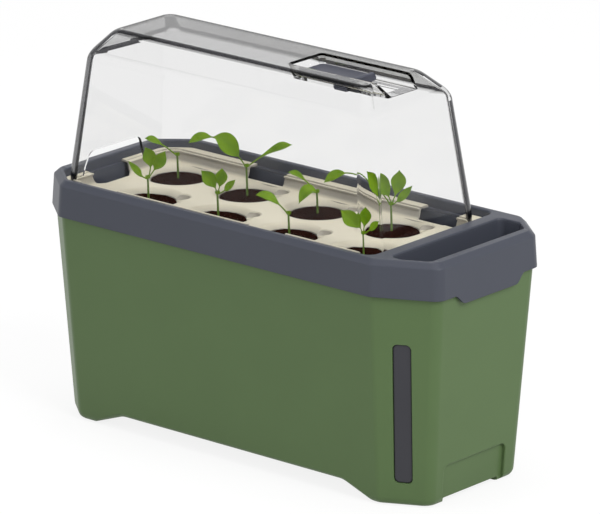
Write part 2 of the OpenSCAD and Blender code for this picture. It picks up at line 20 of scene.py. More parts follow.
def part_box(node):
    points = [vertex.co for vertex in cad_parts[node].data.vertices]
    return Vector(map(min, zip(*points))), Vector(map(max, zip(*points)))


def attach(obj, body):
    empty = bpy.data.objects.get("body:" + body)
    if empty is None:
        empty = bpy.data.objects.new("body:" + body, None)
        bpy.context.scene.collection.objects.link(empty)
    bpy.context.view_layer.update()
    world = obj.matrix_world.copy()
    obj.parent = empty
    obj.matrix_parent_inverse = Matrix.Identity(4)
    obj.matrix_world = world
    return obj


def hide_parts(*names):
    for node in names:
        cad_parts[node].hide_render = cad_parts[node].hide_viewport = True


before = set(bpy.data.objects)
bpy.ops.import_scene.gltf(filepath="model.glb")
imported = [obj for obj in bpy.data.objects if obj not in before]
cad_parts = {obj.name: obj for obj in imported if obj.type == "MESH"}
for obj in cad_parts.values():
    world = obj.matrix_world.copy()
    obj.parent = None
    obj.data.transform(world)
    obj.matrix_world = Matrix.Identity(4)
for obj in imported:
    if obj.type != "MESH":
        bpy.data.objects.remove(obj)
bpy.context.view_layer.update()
MM = 0.001
LOG = logging.getLogger("planter")

# Outlines with the same number of points, which a skin is stretched over in order
Rings = list[np.ndarray]
# Directions of the right, back, left and front faces, in degrees
SQUARE = (0.0, 90.0, 180.0, 270.0)
# How far a cutter reaches past what it cuts: well to the side, down, out of a face, and just through it
PAST = 20.0
BELOW = 5.0
PROUD = 2.0
BEYOND = 1.0
# Depth of a flared lip and how far it has opened there, both as shares of the flare, from the inside out
LIP_CURVE = ((1.2, 0.0), (0.45, 0.2), (0.0, 1.0))
# A bend or a flare that is too small to see
SHARP = 0.01
# Edge angle in degrees up to which a piece is shaded smooth, and how strongly its larger faces lead
SMOOTH_ANGLE = 32.0
FACE_LEAD = 80


class Joining(Enum):
    """How one solid changes another."""

    CUT = "DIFFERENCE"
    JOIN = "UNION"
    SHARE = "INTERSECT"


class Side(Enum):
    """End of the tub that a wick hangs at."""

    LEFT = "left"
    RIGHT = "right"


# Outlines and solids


def ring(dirs: Sequence[float], reach: Sequence[float], round_by: float, steps: int = 8) -> np.ndarray:
    """Closed outline of straight faces with rounded corners.

    Args:
        dirs: direction of each face in degrees, anticlockwise.
        reach: distance of each face from the middle.
        round_by: radius of the corners.
        steps: arc steps at each corner.

    Returns:
        The outline's points as rows of x and y.
    """
    points = []
    for i, heading in enumerate(dirs):
        j = (i + 1) % len(dirs)
        a = math.radians(heading)
        b = math.radians(dirs[j] + (360 if j == 0 else 0))
        h1, h2 = reach[i] - round_by, reach[j] - round_by
        x = (h1 * math.sin(b) - h2 * math.sin(a)) / math.sin(b - a)
        y = (h2 * math.cos(a) - h1 * math.cos(b)) / math.sin(b - a)
        for step in range(steps + 1):
            t = a + (b - a) * step / steps
            points.append((x + round_by * math.cos(t), y + round_by * math.sin(t)))
    return np.array(points)


def circle(radius: float, at: Sequence[float] = (0, 0), steps: int = 64) -> np.ndarray:
    """Round outline with its middle at a point."""
    turn = np.linspace(0, 2 * math.pi, steps, endpoint=False)
    return np.column_stack([at[0] + radius * np.cos(turn), at[1] + radius * np.sin(turn)])


def stand(flat: np.ndarray, x: float) -> np.ndarray:
    """Stands a flat outline up at an x, so that its own x and y become y and z."""
    return np.column_stack([np.full(len(flat), x), flat])


def soften(rows: np.ndarray, soft: Sequence[float], steps: int = 6) -> np.ndarray:
    """Rounds the bends of a path of rows, each bend over its own length.

    Args:
        rows: the path's rows, whose first value is a height.
        soft: length that each row's bend is spread over to both sides, 0 for a sharp bend.
        steps: curve steps of a bend.

    Returns:
        The rows of the rounded path.
    """
    path = [rows[0]]
    for i in range(1, len(rows) - 1):
        if soft[i] <= 0:
            path.append(rows[i])
            continue
        ends = []
        for near in (i - 1, i + 1):
            leg = rows[near] - rows[i]
            ends.append(rows[i] + leg * min(0.5, soft[i] / np.abs(leg).max()))
        for t in np.linspace(0, 1, steps + 1):
            path.append((1 - t) ** 2 * ends[0] + 2 * t * (1 - t) * rows[i] + t * t * ends[1])
    path.append(rows[-1])
    return np.array(path)


@dataclass(frozen=True)
class Level:
    """One height of a lofted form.

    Attributes:
        z: height.
        inward: how far the faces lie inside the form's outline, one value or one for each face.
        round_by: radius of the upright corners.
        soft: length over which the bend at this height is rounded.
    """

    z: float
    inward: float | tuple[float, ...] = 0.0
    round_by: float = 10.0
    soft: float = 0.0


def loft(dirs: Sequence[float], reach: Sequence[float], levels: Sequence[Level], steps: int = 8) -> Rings:
    """Rings of a form that changes its outline from height to height.

    Args:
        dirs: direction of each face in degrees.
        reach: distance of each face from the middle.
        levels: the form's heights, in order.
        steps: arc steps at each corner.

    Returns:
        One ring of x, y, z points for each height, bends included.
    """
    base = np.array(reach, float)
    rows = [[v.z, *np.broadcast_to(v.inward, base.shape), v.round_by] for v in levels]
    rings = []
    for row in soften(np.array(rows, float), [v.soft for v in levels]):
        flat = ring(dirs, base - row[1:-1], max(row[-1], 0.5), steps)
        rings.append(np.column_stack([flat, np.full(len(flat), row[0])]))
    return rings


def block(
    x: tuple[float, float], y: tuple[float, float], z: tuple[float, float], round_by: float, steps: int = 3
) -> Rings:
    """Rings of an upright block between two x, two y and two heights, with rounded corners."""
    levels = [Level(height, 0, round_by) for height in z]
    return loft(SQUARE, (x[1], y[1], -x[0], -y[0]), levels, steps)


def turned(profile: Sequence[tuple[float, float]], at: Sequence[float], steps: int = 64) -> Rings:
    """Rings of a turned form, from pairs of radius and height and the place of its axis."""
    return [np.column_stack([circle(r, at, steps), np.full(steps, z)]) for r, z in profile]


def solid(name: str, *skins: Sequence[np.ndarray], place: Matrix | None = None) -> Object:
    """Closed mesh object through lists of rings.

    Args:
        name: name of the object.
        skins: one list of rings for each separate body; the rings of a list have the same number of points.
        place: where the rings' own frame stands, or None for the part's frame.

    Returns:
        The object, still in millimetres.
    """
    points, faces = [], []
    for rings in skins:
        first, n, m = len(points), len(rings[0]), len(rings)
        body = np.concatenate(rings)
        sides = [
            (i * n + j, i * n + (j + 1) % n, (i + 1) * n + (j + 1) % n, (i + 1) * n + j)
            for i in range(m - 1)
            for j in range(n)
        ]
        skin = sides + [tuple(reversed(range(n))), tuple(range((m - 1) * n, m * n))]
        volume = sum(
            np.dot(body[f[0]], np.cross(body[f[k]], body[f[k + 1]]))
            for f in skin
            for k in range(1, len(f) - 1)
        )
        turn = 1 if volume > 0 else -1
        points.extend(body.tolist())
        faces.extend(tuple(first + k for k in f[::turn]) for f in skin)
    mesh = bpy.data.meshes.new(name)
    mesh.from_pydata(points, [], faces)
    if place is not None:
        mesh.transform(place)
    mesh.update()
    made = bpy.data.objects.new(name, mesh)
    bpy.context.scene.collection.objects.link(made)
    return made


def combine(base: Object, how: Joining, *others: Object) -> Object:
    """Changes a solid by others, which are used up.

    Args:
        base: the solid that is changed.
        how: whether the others are cut away, joined on or shared.
        others: the solids that change it.

    Returns:
        The changed solid.
    """
    for other in others:
        change = base.modifiers.new(how.name, "BOOLEAN")
        change.operation = how.value
        change.solver = "MANIFOLD"
        change.object = other
        graph = bpy.context.evaluated_depsgraph_get()
        result = bpy.data.meshes.new_from_object(base.evaluated_get(graph))
        base.modifiers.clear()
        spent = [base.data, other.data]
        base.data = result
        bpy.data.objects.remove(other)
        for mesh in spent:
            bpy.data.meshes.remove(mesh)
    return base


def shade(piece: Object, angle: float = SMOOTH_ANGLE) -> None:
    """Shades a piece smooth, led by its larger faces.

    Args:
        piece: the piece.
        angle: edge angle in degrees up to which it is smooth.
    """
    piece.data.polygons.foreach_set("use_smooth", [True] * len(piece.data.polygons))
    piece.data.set_sharp_from_angle(angle=math.radians(angle))
    even = piece.modifiers.new("even normals", "WEIGHTED_NORMAL")
    even.keep_sharp = True
    even.weight = FACE_LEAD


def make_piece(
    piece: Object, finish: Material, body: str, slot: str, *nodes: str, angle: float = SMOOTH_ANGLE
) -> None:
    """Scales a finished form to metres and makes it a piece of the part.

    Args:
        piece: the form, in millimetres.
        finish: its material; a form that has materials already keeps them.
        body: CAD body that it moves with.
        slot: material slot of the record; not used.
        nodes: CAD nodes that it stands for.
        angle: edge angle in degrees up to which it is shaded smooth.
    """
    piece.data.transform(Matrix.Scale(MM, 4))
    if not any(piece.data.materials):
        piece.data.materials.clear()
        piece.data.materials.append(finish)
    shade(piece, angle)
    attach(piece, body)
    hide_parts(*nodes)
    LOG.info("%s: %d faces for %s", piece.name, len(piece.data.polygons), ", ".join(nodes))


def coat(node: str, finish: Material) -> None:
    """Gives a CAD node that is shown as it is a finish and smooth shading.

    Args:
        node: name of the CAD node.
        finish: its material.
    """
    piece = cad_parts[node]
    piece.data.materials.clear()
    piece.data.materials.append(finish)
    shade(piece)
    LOG.info("%s: CAD form with its finish", node)


# Finishes


def linear(code: str) -> tuple[float, float, float, float]:
    """Turns an sRGB hex colour to a linear one.

    Args:
        code: the colour, as # and six digits.

    Returns:
        Its red, green and blue, and an alpha of 1.
    """
    parts = [int(code[i : i + 2], 16) / 255 for i in (1, 3, 5)]
    light = [v / 12.92 if v <= 0.04045 else ((v + 0.055) / 1.055) ** 2.4 for v in parts]
    return (*light, 1.0)


def add(tree: NodeTree, kind: str, sockets: dict[str | int, Any] | None = None, **settings: Any) -> Any:
    """Adds a shader node with its settings, values and links.

    Args:
        tree: node tree that it goes in.
        kind: the node's type.
        sockets: value, or the output to link, for each input.
        settings: properties of the node.

    Returns:
        The node.
    """
    made = tree.nodes.new(kind)
    for name, value in settings.items():
        setattr(made, name, value)
    for name, value in (sockets or {}).items():
        if isinstance(value, NodeSocket):
            tree.links.new(value, made.inputs[name])
        else:
            made.inputs[name].default_value = value
    return made


def blank(name: str) -> tuple[Material, NodeTree, Any, Any]:
    """Makes a material with nothing in it yet.

    Args:
        name: name of the material.

    Returns:
        The material, its tree, its output node and the output of a texture's place on the object.
    """
    made = bpy.data.materials.new(name)
    made.use_nodes = True
    tree = made.node_tree
    tree.nodes.clear()
    out = add(tree, "ShaderNodeOutputMaterial")
    return made, tree, out, add(tree, "ShaderNodeTexCoord").outputs["Object"]


def per_metre(size_mm: float) -> float:
    """Noise scale that makes features of about this size."""
    return 1 / (size_mm * MM)


def cloud(tree: NodeTree, place: Any, size_mm: float, detail: float) -> Any:
    """Adds a noise and gives its output.

    Args:
        tree: the material's tree.
        place: output of a texture's place.
        size_mm: size of its features.
        detail: number of finer layers.

    Returns:
        Output of the noise.
    """
    sockets = {"Vector": place, "Scale": per_metre(size_mm), "Detail": detail}
    return add(tree, "ShaderNodeTexNoise", sockets).outputs["Fac"]


def blend(tree: NodeTree, share: Any, first: Any, second: Any) -> Any:
    """Adds a mix of two colours and gives its output.

    Args:
        tree: the material's tree.
        share: output of the second colour's share.
        first: colour, or the output of one.
        second: colour that it turns to.

    Returns:
        Output of the mixed colour.
    """
    sockets = {"Factor": share, "A": first, "B": second}
    return add(tree, "ShaderNodeMix", sockets, data_type="RGBA").outputs["Result"]


@dataclass(frozen=True)
class MouldedPlastic:
    """Opaque plastic or rubber from a textured mould: satin, with a fine even grain and soft edges.

    Attributes:
        name: name of the material.
        tone: sRGB colour.
        roughness: middle of its roughness.
        grain_mm: size of the mould's texture, drawn coarser than the real 0.2 mm so that it shows.
        relief: strength of that texture.
        drift: share by which the colour drifts over the surface.
        edge_mm: radius that moulded edges catch the light with.
        ior: index of refraction.
        sheen: level of the mirror part; 0.5 is that of a bare polished face, a fine grain breaks it up.
        upright: sRGB colour of a painted shade on the upright faces, or empty.
        painted_shade_span: rise of a face's normal at which the painted shade is full, and at which it is
            gone.
        cloud_mm: size of the patches over which the colour drifts.
        rough_drift: how far the grain takes the roughness up and down.
    """

    name: str
    tone: str
    roughness: float = 0.45
    grain_mm: float = 0.9
    relief: float = 0.06
    drift: float = 0.05
    edge_mm: float = 0.7
    ior: float = 1.49
    sheen: float = 0.25
    upright: str = ""
    painted_shade_span: tuple[float, float] = (0.45, 0.94)
    cloud_mm: float = 55.0
    rough_drift: float = 0.06

    def colour(self, tree: NodeTree, place: Any) -> Any:
        """Adds the nodes of the colour, which drifts a little over the surface, with a painted shade on
        upright faces.

        Args:
            tree: the material's tree.
            place: output of a texture's place.

        Returns:
            Output of the colour.
        """
        tone = linear(self.tone)[:3]
        low = (*(v * (1 - self.drift) for v in tone), 1.0)
        high = (*(min(1.0, v * (1 + self.drift)) for v in tone), 1.0)
        flat = blend(tree, cloud(tree, place, self.cloud_mm, 2.0), low, high)
        if not self.upright:
            return flat
        # Painted shade: faces that stand upright are blended towards the darker upright colour
        rise = add(tree, "ShaderNodeSeparateXYZ", {"Vector": place.node.outputs["Normal"]})
        most, least = self.painted_shade_span
        span = {"From Min": most, "From Max": least, "To Min": 1.0, "To Max": 0.0}
        steep = add(tree, "ShaderNodeMapRange", {"Value": rise.outputs["Z"], **span})
        return blend(tree, steep.outputs["Result"], flat, linear(self.upright))

    def make(self) -> Material:
        """Builds the material.

        Returns:
            The material.
        """
        made, tree, out, place = blank(self.name)
        grain = cloud(tree, place, self.grain_mm, 3.0)
        span = {"To Min": self.roughness - self.rough_drift, "To Max": self.roughness + self.rough_drift}
        rough = add(tree, "ShaderNodeMapRange", {"Value": grain, **span})
        edge = add(tree, "ShaderNodeBevel", {"Radius": self.edge_mm * MM}, samples=6)
        skin = {"Strength": self.relief, "Distance": self.grain_mm * MM, "Normal": edge.outputs["Normal"]}
        bump = add(tree, "ShaderNodeBump", {"Height": grain, **skin})
        gloss = {"Roughness": rough.outputs["Result"], "IOR": self.ior, "Specular IOR Level": self.sheen}
        form = {"Base Color": self.colour(tree, place), "Normal": bump.outputs["Normal"]}
        body = add(tree, "ShaderNodeBsdfPrincipled", {**form, **gloss})
        tree.links.new(body.outputs["BSDF"], out.inputs["Surface"])
        return made


@dataclass(frozen=True)
class ClearPlastic:
    """Polystyrene or SAN from a polished mould: clear and glossy, with a painted grey shade where the eye
    looks along the wall.

    Attributes:
        name: name of the material.
        tone: sRGB colour that the wall lets through.
        edge: sRGB colour of the painted shade where the eye looks along the wall.
        edge_shade_span: how far from face-on, from 0 to 1, the painted shade begins and ends.
        mirror: sRGB tint of the reflection of a face seen face-on.
        roughness: roughness of the polished face.
        ior: index of refraction.
        flow_mm: size of the faint swells that the flowing plastic leaves.
        flow_relief: strength of those swells.
    """

    name: str
    tone: str = "#f6f6f6"
    edge: str = "#141415"
    edge_shade_span: tuple[float, float] = (0.37, 0.86)
    mirror: str = "#2a2a2a"
    roughness: float = 0.01
    ior: float = 1.49
    flow_mm: float = 60.0
    flow_relief: float = 0.04

    def make(self) -> Material:
        """Builds the material; lamps shine through it without caustics.

        Returns:
            The material.
        """
        made, tree, out, place = blank(self.name)
        flow = cloud(tree, place, self.flow_mm, 1.0)
        swell = {"Height": flow, "Strength": self.flow_relief, "Distance": MM}
        bump = add(tree, "ShaderNodeBump", swell)
        # Painted shade: the colour darkens from tone to edge as the wall turns edge-on, standing in for the
        # dark reflections along a clear wall
        turn = add(tree, "ShaderNodeLayerWeight", {"Blend": 0.5})
        span = {"From Min": self.edge_shade_span[0], "From Max": self.edge_shade_span[1]}
        rim = add(tree, "ShaderNodeMapRange", {"Value": turn.outputs["Facing"], **span})
        colour = blend(tree, rim.outputs["Result"], linear(self.tone), linear(self.edge))
        gloss = {"Roughness": self.roughness, "IOR": self.ior, "Specular Tint": linear(self.mirror)}
        form = {"Base Color": colour, "Normal": bump.outputs["Normal"], "Transmission Weight": 1.0}
        body = add(tree, "ShaderNodeBsdfPrincipled", {**form, **gloss})
        through = add(tree, "ShaderNodeBsdfTransparent")
        shadow = add(tree, "ShaderNodeLightPath").outputs["Is Shadow Ray"]
        mix = {0: shadow, 1: body.outputs["BSDF"], 2: through.outputs["BSDF"]}
        both = add(tree, "ShaderNodeMixShader", mix)
        tree.links.new(both.outputs["Shader"], out.inputs["Surface"])
        return made


@dataclass(frozen=True)
class PressedSoil:
    """Coir and peat pressed to a plug: dark, dry crumbs with a few paler fibres.

    Attributes:
        name: name of the material.
        tone: sRGB colour of the crumbs.
        fibre: sRGB colour of the fibres.
        crumb_mm: size of the crumbs.
        relief: strength of the crumbs.
        fibre_mm: size of the fibres.
        fibre_span: part of the pattern over which a fibre fades in.
        roughness: roughness of the dry crumbs.
    """

    name: str = "coir and peat, pressed"
    tone: str = "#26130f"
    fibre: str = "#452c20"
    crumb_mm: float = 1.6
    relief: float = 0.6
    fibre_mm: float = 1.1
    fibre_span: tuple[float, float] = (0.55, 0.75)
    roughness: float = 0.95

    def make(self) -> Material:
        """Builds the material.

        Returns:
            The material.
        """
        made, tree, out, place = blank(self.name)
        crumb = add(tree, "ShaderNodeTexVoronoi", {"Vector": place, "Scale": per_metre(self.crumb_mm)})
        fleck = cloud(tree, place, self.fibre_mm, 4.0)
        span = {"From Min": self.fibre_span[0], "From Max": self.fibre_span[1]}
        share = add(tree, "ShaderNodeMapRange", {"Value": fleck, **span})
        colour = blend(tree, share.outputs["Result"], linear(self.tone), linear(self.fibre))
        crumbs = {"Strength": self.relief, "Distance": self.crumb_mm * MM}
        bump = add(tree, "ShaderNodeBump", {"Height": crumb.outputs["Distance"], **crumbs})
        dull = {"Roughness": self.roughness, "Specular IOR Level": 0.0, "Normal": bump.outputs["Normal"]}
        body = add(tree, "ShaderNodeBsdfPrincipled", {"Base Color": colour, **dull})
        tree.links.new(body.outputs["BSDF"], out.inputs["Surface"])
        return made


@dataclass(frozen=True)
class YoungLeaf:
    """Living seed leaf: waxy, light shines through it, with paler patches and fine cells.

    Attributes:
        name: name of the material.
        tone: sRGB colour of the blade.
        pale: sRGB colour of its paler patches.
        glow: share of the light that passes through.
        patch_mm: size of the patches.
        cell_mm: size of the cells, drawn coarser than the real 0.1 mm so that they show.
        cell_h: height of a cell.
        relief: strength of the cells.
        roughness: roughness of the waxy skin.
        ior: index of refraction of the skin.
        sheen: level of the mirror part.
    """

    name: str
    tone: str
    pale: str
    glow: float = 0.3
    patch_mm: float = 7.0
    cell_mm: float = 2.2
    cell_h: float = 0.4
    relief: float = 0.25
    roughness: float = 0.42
    ior: float = 1.42
    sheen: float = 0.2

    def make(self) -> Material:
        """Builds the material.

        Returns:
            The material.
        """
        made, tree, out, place = blank(self.name)
        patch = cloud(tree, place, self.patch_mm, 3.0)
        cell = add(tree, "ShaderNodeTexVoronoi", {"Vector": place, "Scale": per_metre(self.cell_mm)})
        colour = blend(tree, patch, linear(self.tone), linear(self.pale))
        cells = {"Height": cell.outputs["Distance"], "Strength": self.relief, "Distance": self.cell_h * MM}
        bump = add(tree, "ShaderNodeBump", cells)
        gloss = {"Roughness": self.roughness, "IOR": self.ior, "Specular IOR Level": self.sheen}
        form = {"Base Color": colour, "Normal": bump.outputs["Normal"]}
        body = add(tree, "ShaderNodeBsdfPrincipled", {**form, **gloss})
        back = add(tree, "ShaderNodeBsdfTranslucent", {"Color": colour})
        mix = {0: self.glow, 1: body.outputs["BSDF"], 2: back.outputs["BSDF"]}
        both = add(tree, "ShaderNodeMixShader", mix)
        tree.links.new(both.outputs["Shader"], out.inputs["Surface"])
        return made


@dataclass(frozen=True)
class NeedledFelt:
    """Polyester felt, needled: matt and fuzzy, with a short random nap.

    Attributes:
        name: name of the material.
        tone: sRGB colour.
        nap_mm: size of the tufts.
        relief: strength of the tufts.
        roughness: roughness of the fibres.
        fuzz: weight of the sheen on the fibre ends.
    """

    name: str = "polyester felt, needled"
    tone: str = "#b9b4a8"
    nap_mm: float = 1.4
    relief: float = 0.7
    roughness: float = 0.95
    fuzz: float = 0.3

    def make(self) -> Material:
        """Builds the material.

        Returns:
            The material.
        """
        made, tree, out, place = blank(self.name)
        nap = cloud(tree, place, self.nap_mm, 6.0)
        tufts = {"Height": nap, "Strength": self.relief, "Distance": self.nap_mm * MM}
        bump = add(tree, "ShaderNodeBump", tufts)
        fuzzy = {"Roughness": self.roughness, "Sheen Weight": self.fuzz, "Normal": bump.outputs["Normal"]}
        body = add(tree, "ShaderNodeBsdfPrincipled", {"Base Color": linear(self.tone), **fuzzy})
        tree.links.new(body.outputs["BSDF"], out.inputs["Surface"])
        return made


# Sub-assemblies


@dataclass(frozen=True)
class Plan:
    """Sizes that several pieces share: the collar's eight-sided outline, its openings, the main heights.

    Attributes:
        half_l: half the collar's length.
        half_w: half its width.
        corner_l: run along the length of the corner face with the gauge.
        corner_w: its run along the width.
        plain_l: the other corner faces' run along the length.
        plain_w: their run along the width.
        plate_z: underside of the collar's top.
        step_z: top of the tray's step, which the cover stands on.
        ledge_z: ledge of the tub, which the tray hangs on.
        floor_z: floor of the tray.
        plug_z: foot of the soil plugs.
        open_right: distance of the planting opening's right face, and so on for the others.
        rim_corner: rim between the collar's corner faces and the opening.
        pitch: distance between the holes of a row.
        stagger: how far the front row stands to the right of the back row.
        row_y: distance of each row from the middle.
        middle_x: middle of the rows.
    """

    half_l: float = 190.0
    half_w: float = 79.5
    corner_l: float = 46.0
    corner_w: float = 23.0
    plain_l: float = 30.0
    plain_w: float = 25.0
    collar_top: float = 191.0
    skirt_z: float = 163.5
    plate_z: float = 188.7
    step_z: float = 184.5
    ledge_z: float = 183.1
    floor_z: float = 176.0
    soil_z: float = 172.0
    boss_z: float = 168.0
    plug_z: float = 131.1
    tub_z: float = 126.0
    open_right: float = 137.5
    open_left: float = 179.0
    open_side: float = 71.0
    rim_corner: float = 7.0
    open_round: float = 8.0
    holes: int = 8
    pitch: float = 69.81
    stagger: float = 22.34
    row_y: float = 29.2
    middle_x: float = -21.25

    @property
    def corner(self) -> float:
        """Direction of the front right corner face from +X, in degrees."""
        return math.degrees(math.atan2(self.corner_l, self.corner_w))

    @property
    def plain(self) -> float:
        """Direction of the back right corner face, one of the three without a gauge."""
        return math.degrees(math.atan2(self.plain_l, self.plain_w))

    def cut_reach(self, run_l: float, run_w: float) -> float:
        """Distance from the middle of a corner face with these runs along the length and the width."""
        return (self.half_l * run_w + (self.half_w - run_w) * run_l) / math.hypot(run_l, run_w)

    @property
    def corner_reach(self) -> float:
        """Distance of the corner face with the gauge."""
        return self.cut_reach(self.corner_l, self.corner_w)

    @property
    def plain_reach(self) -> float:
        """Distance of the three other corner faces."""
        return self.cut_reach(self.plain_l, self.plain_w)

    @property
    def dirs(self) -> tuple[float, ...]:
        """Directions of the collar's eight faces."""
        a = self.plain
        return (0, a, 90, 180 - a, 180, 180 + a, 270, 360 - self.corner)

    @property
    def reach(self) -> tuple[float, ...]:
        """Distances of the collar's eight faces."""
        long, wide, cut = self.half_l, self.half_w, self.plain_reach
        return (long, cut, wide, cut, long, cut, wide, self.corner_reach)

    @property
    def open_dirs(self) -> tuple[float, ...]:
        """Directions of the faces of the planting opening."""
        return (0, 90, 180 - self.plain, 180, 180 + self.plain, 270)

    @property
    def open_reach(self) -> tuple[float, ...]:
        """Distances of the faces of the planting opening."""
        cut = self.plain_reach - self.rim_corner
        return (self.open_right, self.open_side, cut, self.open_left, cut, self.open_side)

    def hole(self, i: int) -> tuple[float, float]:
        """Middle of planting hole i: the back row from the left, then the front row.

        Args:
            i: number of the hole, from 0.

        Returns:
            Its x and y.
        """
        row = self.holes // 2
        side = 1 if i < row else -1
        along = (i % row - (row - 1) / 2) * self.pitch
        return (self.middle_x + along - side * self.stagger / 2, side * self.row_y)


@dataclass
class WaterTank:
    """Tapered green tank with a raised underside, hand recesses at its ends and a gauge slot.

    Attributes:
        plan: shared sizes.
        lean: run of each wall for each millimetre of height.
        wall: wall of the tank.
        arch_run: length of the ramp at each end of the raised underside.
        ramp_soft: share of the ramp over which each of its bends is rounded.
        grip_break: height and run of the broken edge under each end.
        floor_run: how far the floor is drawn in from the foot, outside and inside.
    """

    plan: Plan
    lean: float = 0.074
    wall: float = 2.5
    skirt_in: float = 1.4
    foot_soft: float = 7.0
    space_soft: float = 5.0
    floor_run: tuple[float, float] = (16.0, 14.0)
    neck_in: float = 2.9
    neck_wall: float = 2.0
    shoulder_z: float = 164.5
    neck_z: float = 167.0
    arch_h: float = 11.0
    arch_half: float = 106.0
    arch_run: float = 37.0
    arch_x: float = -3.0
    ramp_soft: float = 0.18
    edge_soft: float = 4.5
    grip_w: float = 71.0
    grip_h: float = 30.0
    grip_deep: float = 3.0
    grip_edge: float = 3.5
    grip_side: float = 4.0
    grip_round: float = 5.0
    grip_corner: float = 2.0
    grip_break: tuple[float, float] = (1.0, 0.5)
    gauge_w: float = 14.0
    gauge_z: tuple[float, float] = (18.0, 127.0)
    gauge_shift: float = 3.3
    slot_round: float = 4.0
    slot_soft: float = 0.7
    lip_soft: float = 1.0

    def inward(self, z: float) -> float:
        """How far the wall lies inside the collar's outline at a height."""
        return self.skirt_in + self.lean * (self.plan.skirt_z - z)

    def on_gauge(self) -> Matrix:
        """Places things on the front right corner face.

        Returns:
            Frame in the middle of the gauge: +X out of the face, +Z up along it.
        """
        p = self.plan
        a = math.radians(p.corner)
        mid = (self.gauge_z[0] + self.gauge_z[1]) / 2
        along = (p.half_l - p.corner_l / 2) * math.sin(a) - (p.half_w - p.corner_w / 2) * math.cos(a)
        at = Matrix.Translation((p.corner_reach - self.inward(mid), along - self.gauge_shift, mid))
        return Matrix.Rotation(-a, 4, "Z") @ at @ Matrix.Rotation(math.atan(self.lean), 4, "Y")

    def on_end(self, turn: float, z: float) -> Matrix:
        """Frame on an end face at a height: +X out of the face."""
        at = Matrix.Translation((self.plan.half_l - self.inward(z), 0, z))
        return Matrix.Rotation(turn, 4, "Z") @ at @ Matrix.Rotation(math.atan(self.lean), 4, "Y")

    def pocket(self, w: float, h: float, deep: float, flare: float, round_by: float) -> Rings:
        """Upright rounded pocket with a flared lip, sunk along -X.

        Args:
            w: its width.
            h: its height.
            deep: its depth.
            flare: how far the lip opens out.
            round_by: radius of its corners.

        Returns:
            Its rings, in the frame of the face.
        """
        lip = [(-flare * deep_part, flare * grow_part) for deep_part, grow_part in LIP_CURVE]
        rings = []
        for x, grow in [(-deep, 0.0), *lip, (PROUD, flare * 2)]:
            size = (w / 2 + grow, h / 2 + grow)
            rings.append(stand(ring(SQUARE, size * 2, round_by + grow), x))
        return rings

    def arch(self, grow: float, flare: float, steps: int = 60) -> Rings:
        """Block under the raised underside.

        Args:
            grow: how much larger it is all round.
            flare: rounding of the edge where it leaves the walls.
            steps: steps along each half of its length.

        Returns:
            Its rings across Y.
        """
        half = self.arch_half + grow
        end = half + self.arch_run
        x = np.linspace(-end, end, 2 * steps + 1)
        t = np.clip((half + self.arch_run - np.abs(x)) / self.arch_run, 0, 1)
        e = self.ramp_soft
        k = 2 * e * (1 - e)
        ramp = np.where(t < e, t**2 / k, np.where(t > 1 - e, 1 - (1 - t) ** 2 / k, (t - e / 2) / (1 - e)))
        rise = self.arch_h * ramp + grow
        wall_y = self.plan.half_w - self.inward(self.arch_h)
        stations = []
        for share in (1.0, 0.7, 0.4, 0.2, 0.05):
            stations.append((wall_y - flare * share, flare * (1 - math.sqrt(1 - (1 - share) ** 2))))
        stations.append((self.plan.half_w, flare))
        rings = []
        for y, more in [(-y, m) for y, m in reversed(stations)] + stations:
            top = np.column_stack([self.arch_x + x, np.full(len(x), y), rise + more])
            low = [[self.arch_x + end, y, -BELOW], [self.arch_x - end, y, -BELOW]]
            rings.append(np.vstack([top, low]))
        return rings

    def grip_block(self, grow: float) -> list[Rings]:
        """Blocks under the raised lower edge of each end.

        Args:
            grow: how much larger they are all round.

        Returns:
            The rings of each block.
        """
        wide = self.grip_w / 2 - self.grip_side + grow
        far = self.plan.half_l + PAST
        near = self.plan.half_l - self.plan.corner_l - grow
        top, r = self.grip_edge + grow, self.grip_corner
        drop, run = self.grip_break
        levels = [Level(-BELOW, 0, r), Level(top - drop, 0, r), Level(top, run, r)]
        ends = ((-near, wide, far, wide), (far, wide, -near, wide))
        return [loft(SQUARE, reach, levels, 3) for reach in ends]

    def build(self) -> Object:
        """Builds the tank with its water space.

        Returns:
            The tank, in millimetres.
        """
        p, w = self.plan, self.wall
        form = [
            Level(0, self.inward(0) + self.floor_run[0]),
            Level(0, self.inward(0), soft=self.foot_soft),
            Level(self.shoulder_z, self.inward(self.shoulder_z)),
            Level(self.neck_z, self.neck_in),
            Level(p.plate_z, self.neck_in),
        ]
        space = [
            Level(w, self.inward(w) + w + self.floor_run[1]),
            Level(w, self.inward(w) + w, soft=self.space_soft),
            Level(self.shoulder_z - w / 2, self.inward(self.shoulder_z) + w),
            Level(self.neck_z - w / 2, self.neck_in + self.neck_wall),
            Level(p.plate_z + BEYOND, self.neck_in + self.neck_wall),
        ]
        tank = solid("water_tank_shell", loft(p.dirs, p.reach, form, 10))
        inner = solid("space", loft(p.dirs, p.reach, space))
        combine(inner, Joining.CUT, solid("arch", self.arch(w, SHARP)), solid("grip", *self.grip_block(w)))
        ends = [self.on_end(turn, 0) for turn in (0.0, math.pi)]
        tall = 2 * (self.grip_h + w)
        back = self.pocket(self.grip_w + 2 * w, tall, self.grip_deep + w, SHARP, self.grip_round)
        combine(inner, Joining.CUT, *[solid("recess back", back, place=end) for end in ends])
        combine(tank, Joining.CUT, inner, solid("arch", self.arch(0, self.edge_soft)))
        combine(tank, Joining.CUT, solid("grip", *self.grip_block(0)))
        recess = self.pocket(self.grip_w, 2 * self.grip_h, self.grip_deep, self.lip_soft, self.grip_round)
        combine(tank, Joining.CUT, *[solid("recess", recess, place=end) for end in ends])
        tall = self.gauge_z[1] - self.gauge_z[0]
        slot = self.pocket(self.gauge_w, tall, 2 * w, self.slot_soft, self.slot_round)
        return combine(tank, Joining.CUT, solid("slot", slot, place=self.on_gauge()))

    def dress(self, green: Material) -> None:
        """Builds the tank and dresses it in its finish."""
        make_piece(self.build(), green, "tank", "tank_green", "water_tank")


